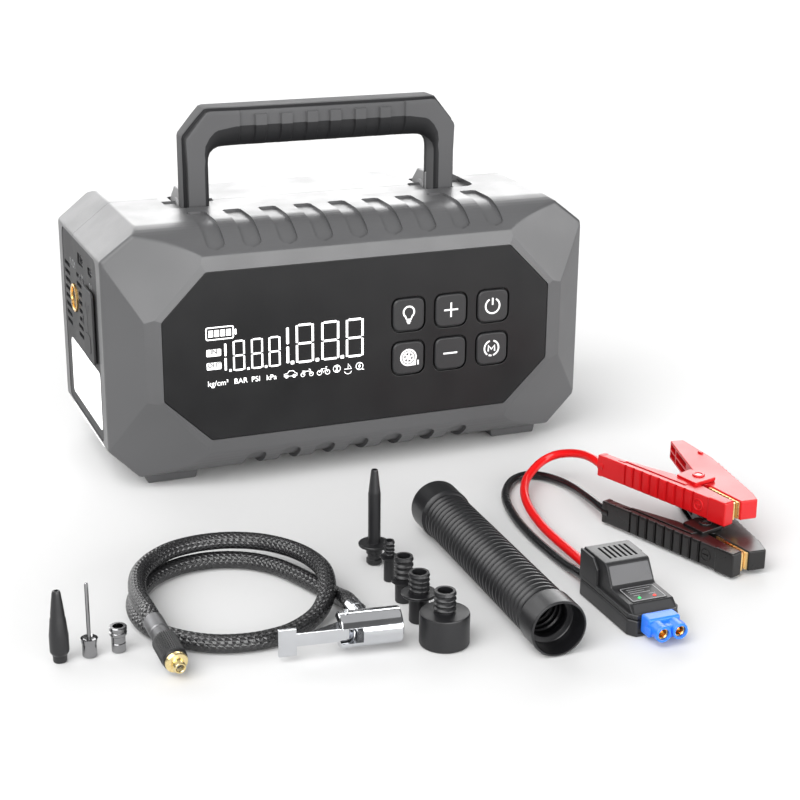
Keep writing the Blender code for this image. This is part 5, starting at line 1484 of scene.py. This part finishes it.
def make_plug(look):
    """Blue two-pole plug with a barrel and a brass contact for each pole."""
    height = 7.5
    poles = (("left", 51.9), ("right", 61.1))
    barrel = [(3.0, 11.0), (3.0, 0.0), (4.1, 0.0), (4.25, 2.0), (4.1, 10.6), (3.8, 11.0)]
    block = bevel(box("block", (47.8, -333.6, 2.6), (65.2, -325.6, 12.4)), 1.2, 4, 40)
    carve(block, *[rod("bore", (x, -336, height), (x, -330.6, height), 3.2, 40) for _, x in poles])
    barrels = [lathe("barrel", barrel, front_view(-330.0, x, height), 40, True) for _, x in poles]
    bridge = bevel(box("bridge", (54.6, -338.8, 4.0), (58.4, -332.0, 10.4)), 0.6, 3, 40)
    lugs = [bevel(box("lug", (x, -336.6, 6.0), (x + 1.4, -332.0, 9.0)), 0.3, 2, 40) for x in (46.6, 64.9)]
    plug = merge("plug_skin", block, bridge, *barrels, *lugs)
    finish(plug, look["blue"], "jump_lead", "ec5_plug")
    contact = [(2.75, 9.4), (2.75, 0.0), (1.0, 0.0), (1.0, 1.2), (2.0, 1.6), (2.0, 9.0), (2.3, 9.4)]
    for label, x in poles:
        piece = lathe("contact_" + label, contact, front_view(-330.4, x, height), 40, True)
        finish(piece, look["brass"], "jump_lead", "plug_contact_" + label)


# ---------------------------------------------------------------- air line
# knurled nut: radius, height and knurl depth of each ring
NUT_RINGS = ((5.3, 15.9, 0.0), (6.0, 16.8, 0.15), (6.15, 17.8, 0.42), (6.15, 30.2, 0.42), (6.0, 31.2, 0.15),
             (5.9, 31.6, 0.0), (5.9, 32.4, 0.0), (5.5, 33.0, 0.0), (2.7, 33.0, 0.0), (2.7, 15.9, 0.0))
NUT_SIDES = 192
NUT_RIBS = 38


def knurled_nut(line):
    """Ring with a wavy outside; its last section is its first, so it closes on itself."""
    rings = []
    for radius, height, depth in NUT_RINGS:
        ring = []
        for j in range(NUT_SIDES):
            angle = 2 * math.pi * j / NUT_SIDES
            reach = radius - depth * (0.5 + 0.5 * math.cos(angle * NUT_RIBS))
            ring.append(line @ Vector((reach * math.cos(angle), reach * math.sin(angle), height)))
        rings.append(ring)
    nut = loft("nut_skin", rings + [rings[0]], caps=False)
    bm = bmesh.new()
    bm.from_mesh(nut.data)
    bmesh.ops.remove_doubles(bm, verts=bm.verts, dist=0.0005)
    bmesh.ops.recalc_face_normals(bm, faces=bm.faces)
    bm.to_mesh(nut.data)
    bm.free()
    return nut


def make_fitting(look):
    """Ferrule, knurled nut and brass nipple with its seal, on the hose's free end."""
    line = along(FITTING_START, FITTING_END)
    sleeve = [(0.0, -0.4), (4.4, -0.4), (4.9, 0.4), (4.9, 9.6), (4.5, 10.2), (4.5, 11.4), (4.9, 12.0),
              (4.7, 15.4), (0.0, 15.4)]
    finish(lathe("ferrule_skin", sleeve, line, 56), look["ferrule"], "air_line", "hose_ferrule")
    nut = knurled_nut(line)
    finish(nut, look["black"], "coupling_nut", "knurled_nut", smooth=50.0)
    stub = [(0.0, 16.0), (2.3, 16.0), (2.3, 33.2), (5.3, 33.2), (5.4, 33.6), (5.4, 34.8), (5.0, 35.3),
            (3.2, 35.6), (3.0, 36.2), (3.0, 38.9), (2.7, 39.5), (2.1, 39.5), (1.9, 39.2), (1.9, 30.0),
            (0.0, 30.0)]
    finish(lathe("nipple_skin", stub, line, 56), look["pale_brass"], "air_line", "hose_nipple")
    seal = [(0.0, 36.4), (1.85, 36.4), (1.85, 37.4), (1.1, 37.4), (1.0, 36.8), (0.0, 36.8)]
    finish(lathe("nipple_core", seal, line, 32), look["ferrule"], "air_line")


def make_chuck(look):
    """Chrome chuck body with the hose's inlet, and its cross pin."""
    line = along(CHUCK_LEFT, CHUCK_RIGHT)
    length = (CHUCK_RIGHT - CHUCK_LEFT).length
    profile = [(0.0, length - 16.0), (4.2, length - 16.0), (4.2, length - 0.6), (4.8, length), (8.0, length),
               (8.6, length - 0.4), (8.8, length - 1.2), (8.8, 1.2), (8.6, 0.4), (8.0, 0.0), (0.0, 0.0)]
    body = lathe("chuck_skin", profile, line, 96)
    axis = (CHUCK_RIGHT - CHUCK_LEFT).normalized()
    flat = frame_at(axis, (-axis.y, axis.x, 0), CHUCK_LEFT)
    carve(body, box("slot", (-5.0, -12.0, -3.8), (10.5, 12.0, 3.8), flat))
    end = Vector(HOSE_ROUTE[-1])
    inlet_line = along((end.x, end.y - 14.0, 11.2), end + Vector((0.0, 1.8, 0.0)))
    sleeve = [(0.0, 0.0), (4.6, 0.0), (4.6, 9.0), (4.9, 9.4), (4.9, 15.2), (4.6, 15.8), (0.0, 15.8)]
    inlet = lathe("inlet", sleeve, inlet_line, 48)
    finish(merge("chuck_body_skin", body, inlet), look["chrome"], "air_line", "chuck_body")
    pin = rod("chuck_pin", flat @ Vector((CHUCK_PIN, 0, -9.9)), flat @ Vector((CHUCK_PIN, 0, 10.6)), 1.0, 24)
    finish(bevel(pin, 0.25, 2), look["chrome"], "air_line")
    make_thumb_lever(look, flat)


def make_thumb_lever(look, flat):
    """Lever on the cross pin; flat has its X along the chuck and its Z along the pin."""
    web = [(-24.5, -5.4), (4.0, -5.4), (7.0, -2.8), (7.4, 0.0), (6.4, 2.4), (4.0, 3.4), (0.5, 2.6),
           (-14.0, -4.2), (-24.5, -4.2)]
    lever = prism("lever_web", web, 6.4, flat @ Matrix.Translation((0, 0, -3.2)))
    carve(lever, rod("hole", flat @ Vector((CHUCK_PIN, 0, -9)), flat @ Vector((CHUCK_PIN, 0, 9)), 1.35, 24))
    bevel(lever, 0.25, 2, 40)
    thumb = bevel(box("thumb", (-29.7, -5.9, -8.1), (-20.9, -3.9, 6.1), flat), 0.5, 3, 40)
    stem = bevel(box("stem", (-21.4, -5.8, -3.3), (3.0, -5.2, 3.3), flat), 0.2, 2, 40)
    lever = merge("lever_skin", lever, thumb, stem)
    finish(lever, look["chrome"], "thumb_lever", "chuck_lever")


# ---------------------------------------------------------------- loose nozzles and duct
def threads(low, high, radius, count, depth):
    """Rounded ribs up a spigot, from low to high."""
    pitch = (high - low) / count
    steps = []
    for index in range(count):
        base = low + index * pitch
        steps += [(radius - depth, base + pitch * 0.08), (radius - depth, base + pitch * 0.34),
                  (radius - depth * 0.2, base + pitch * 0.52), (radius, base + pitch * 0.66),
                  (radius - depth * 0.2, base + pitch * 0.86)]
    return steps


def standing_piece(look, name, x, y, steps, bore, bore_depth=100.0, paint="black"):
    """Turned piece on the floor from outer (radius, height) steps and a bore from its top."""
    bottom, top = steps[0][1], steps[-1][1]
    through = bore_depth >= top - bottom
    if through:
        profile = [(bore, bottom), (bore, top)] + steps[::-1]
    else:
        floor = top - bore_depth
        profile = [(0.0, floor), (bore, floor), (bore, top)] + steps[::-1] + [(0.0, bottom)]
    piece = lathe(name + "_skin", profile, Matrix.Translation((x, y, 0)), 64, closed=through)
    finish(piece, look[paint], name + "_body", name)


def make_nozzles(look):
    """Cone nozzle, ball needle, valve adapter and long nozzle."""
    cone = [(3.1, 0.0), (3.3, 0.5), (3.4, 3.4), (4.4, 4.8), (4.6, 5.8), (4.6, 13.4), (4.3, 16.0), (3.7, 22.0),
            (3.4, 22.6), (3.3, 24.6), (2.7, 30.0), (2.1, 34.8), (1.7, 35.9), (1.4, 36.0)]
    standing_piece(look, "cone_nozzle", -217.4, -250.0, cone, 1.0, 30.0)
    needle = [(3.2, 0.0), (3.5, 0.4), (3.5, 6.0), (3.7, 7.2), (4.1, 9.2), (3.95, 9.3), (3.2, 8.1), (1.5, 7.6),
              (1.1, 8.2), (0.95, 11.0), (0.95, 36.4), (0.8, 37.3), (0.5, 37.6)]
    standing_piece(look, "ball_needle", -203.4, -249.8, needle, 0.35, 1.5, "nickel")
    valve = [(3.1, 0.0), (3.4, 0.4), (3.4, 4.4), (3.2, 4.7), (3.4, 5.0), (3.4, 8.0), (4.0, 8.6), (4.2, 9.0),
             (4.2, 10.0), (3.7, 10.4), (3.7, 10.9), (4.2, 11.3), (4.2, 12.7), (3.9, 13.0)]
    standing_piece(look, "valve_adapter", -189.6, -249.8, valve, 2.6, 9.0, "nickel")
    slim = [(3.3, 0.0), (3.6, 0.4), (4.2, 1.0), (4.2, 3.0), (3.5, 3.6), (3.5, 5.8), (4.3, 6.4), (4.3, 8.6),
            (3.6, 9.2), (3.6, 10.5), (8.2, 10.6), (8.4, 11.0), (8.4, 11.7), (8.1, 12.0), (3.5, 12.3),
            (3.3, 14.0), (3.3, 40.0), (3.1, 41.2), (1.9, 52.4), (1.6, 53.2)]
    standing_piece(look, "long_nozzle", -41.6, -201.4, slim, 1.2, 30.0)


# adapters: name, x, y, base profile, spigot radius, top, bore
ADAPTERS = (
    ("adapter_thin", -42.0, -223.7,
     [(2.5, 0.0), (2.8, 0.4), (2.8, 12.4), (4.3, 12.8), (4.6, 13.1), (4.6, 13.9)], 2.9, 22.5, 1.8),
    ("adapter_mid", -44.1, -248.5,
     [(3.9, 0.0), (4.2, 0.4), (4.3, 10.3), (5.9, 10.8), (6.2, 11.1), (6.2, 11.9)], 5.0, 24.8, 3.4),
    ("adapter_flanged", -45.3, -271.5,
     [(4.6, 0.0), (4.9, 0.4), (4.9, 13.7), (8.5, 14.1), (8.8, 14.5), (8.8, 15.3), (8.5, 15.6)],
     5.3, 26.2, 3.7),
    ("adapter_large", -42.8, -297.4,
     [(11.4, 0.0), (11.9, 0.3), (12.2, 0.9), (12.2, 15.6), (11.9, 16.3), (11.2, 16.6)], 5.5, 27.6, 3.8))


def make_adapters(look):
    """Four stepped adapters, each with four ribs up its spigot."""
    for name, x, y, base, radius, top, bore in ADAPTERS:
        steps = base + threads(base[-1][1], top - 0.6, radius, 4, 0.85) + [(radius - 0.4, top)]
        standing_piece(look, name, x, y, steps, bore)


def make_duct(look):
    """Corrugated duct, open right through, with a plain cuff at each end."""
    length = (Vector(DUCT_FAR) - Vector(DUCT_NEAR)).length
    low, high = 17.0, length - 19.0
    ribs = 30
    pitch = (high - low) / ribs
    outer = [(13.7, 0.0), (14.1, 0.3), (14.3, 0.9), (14.3, 14.2), (14.0, 14.9), (13.2, 15.4)]
    inner = [(13.2, 0.0), (12.9, 0.6), (12.9, 12.0), (12.5, 12.4), (10.2, 12.6), (9.9, 13.0)]
    for index in range(ribs):
        base = low + index * pitch
        outer += [(12.2, base), (12.2, base + pitch * 0.22), (13.0, base + pitch * 0.34),
                  (13.5, base + pitch * 0.5), (13.5, base + pitch * 0.72), (13.0, base + pitch * 0.88)]
        inner += [(9.9, base), (10.6, base + pitch * 0.35), (10.9, base + pitch * 0.6),
                  (10.6, base + pitch * 0.85)]
    outer += [(12.6, high + 1.2), (13.6, high + 1.8), (14.3, high + 2.6), (14.3, length - 0.9),
              (14.1, length - 0.3), (13.7, length)]
    inner += [(9.9, high + 3.0), (10.2, high + 4.0), (12.6, length - 12.4), (12.9, length - 12.0),
              (12.9, length - 0.6), (13.2, length)]
    piece = lathe("duct_skin", inner + outer[::-1], along(DUCT_NEAR, DUCT_FAR), 80, closed=True)
    finish(piece, look["duct"], "duct_hose_body", "duct_hose")


# ---------------------------------------------------------------- parts inside the unit
INSIDE = {
    "battery_pack": "cell", "main_board": "board", "display_module": "panel", "compressor_motor": "steel",
    "motor_pinion": "steel", "crank_gear": "nylon", "piston": "steel", "compressor_cylinder": "steel",
    "blower_motor": "steel", "blower_impeller": "black"}


def paint_inside(look):
    """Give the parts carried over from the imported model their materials."""
    for name, paint in INSIDE.items():
        materials = bpy.data.objects[name].data.materials
        materials.clear()
        materials.append(look[paint])


def main():
    """Camera and cords come first, then the unit, the lead, the air line and the loose pieces."""
    make_camera()
    looks = make_looks()
    cords = make_cords(looks)
    make_studio()
    make_shells(looks)
    make_panel(looks)
    make_display(looks)
    make_handle(looks)
    make_left_side(looks)
    make_right_side(looks)
    make_back(looks)
    for colour, place in CLAMPS.items():
        make_clamp(looks, colour, place)
    make_smart_box(looks)
    make_fitting(looks)
    make_chuck(looks)
    make_nozzles(looks)
    make_adapters(looks)
    make_duct(looks)
    paint_inside(looks)


main()
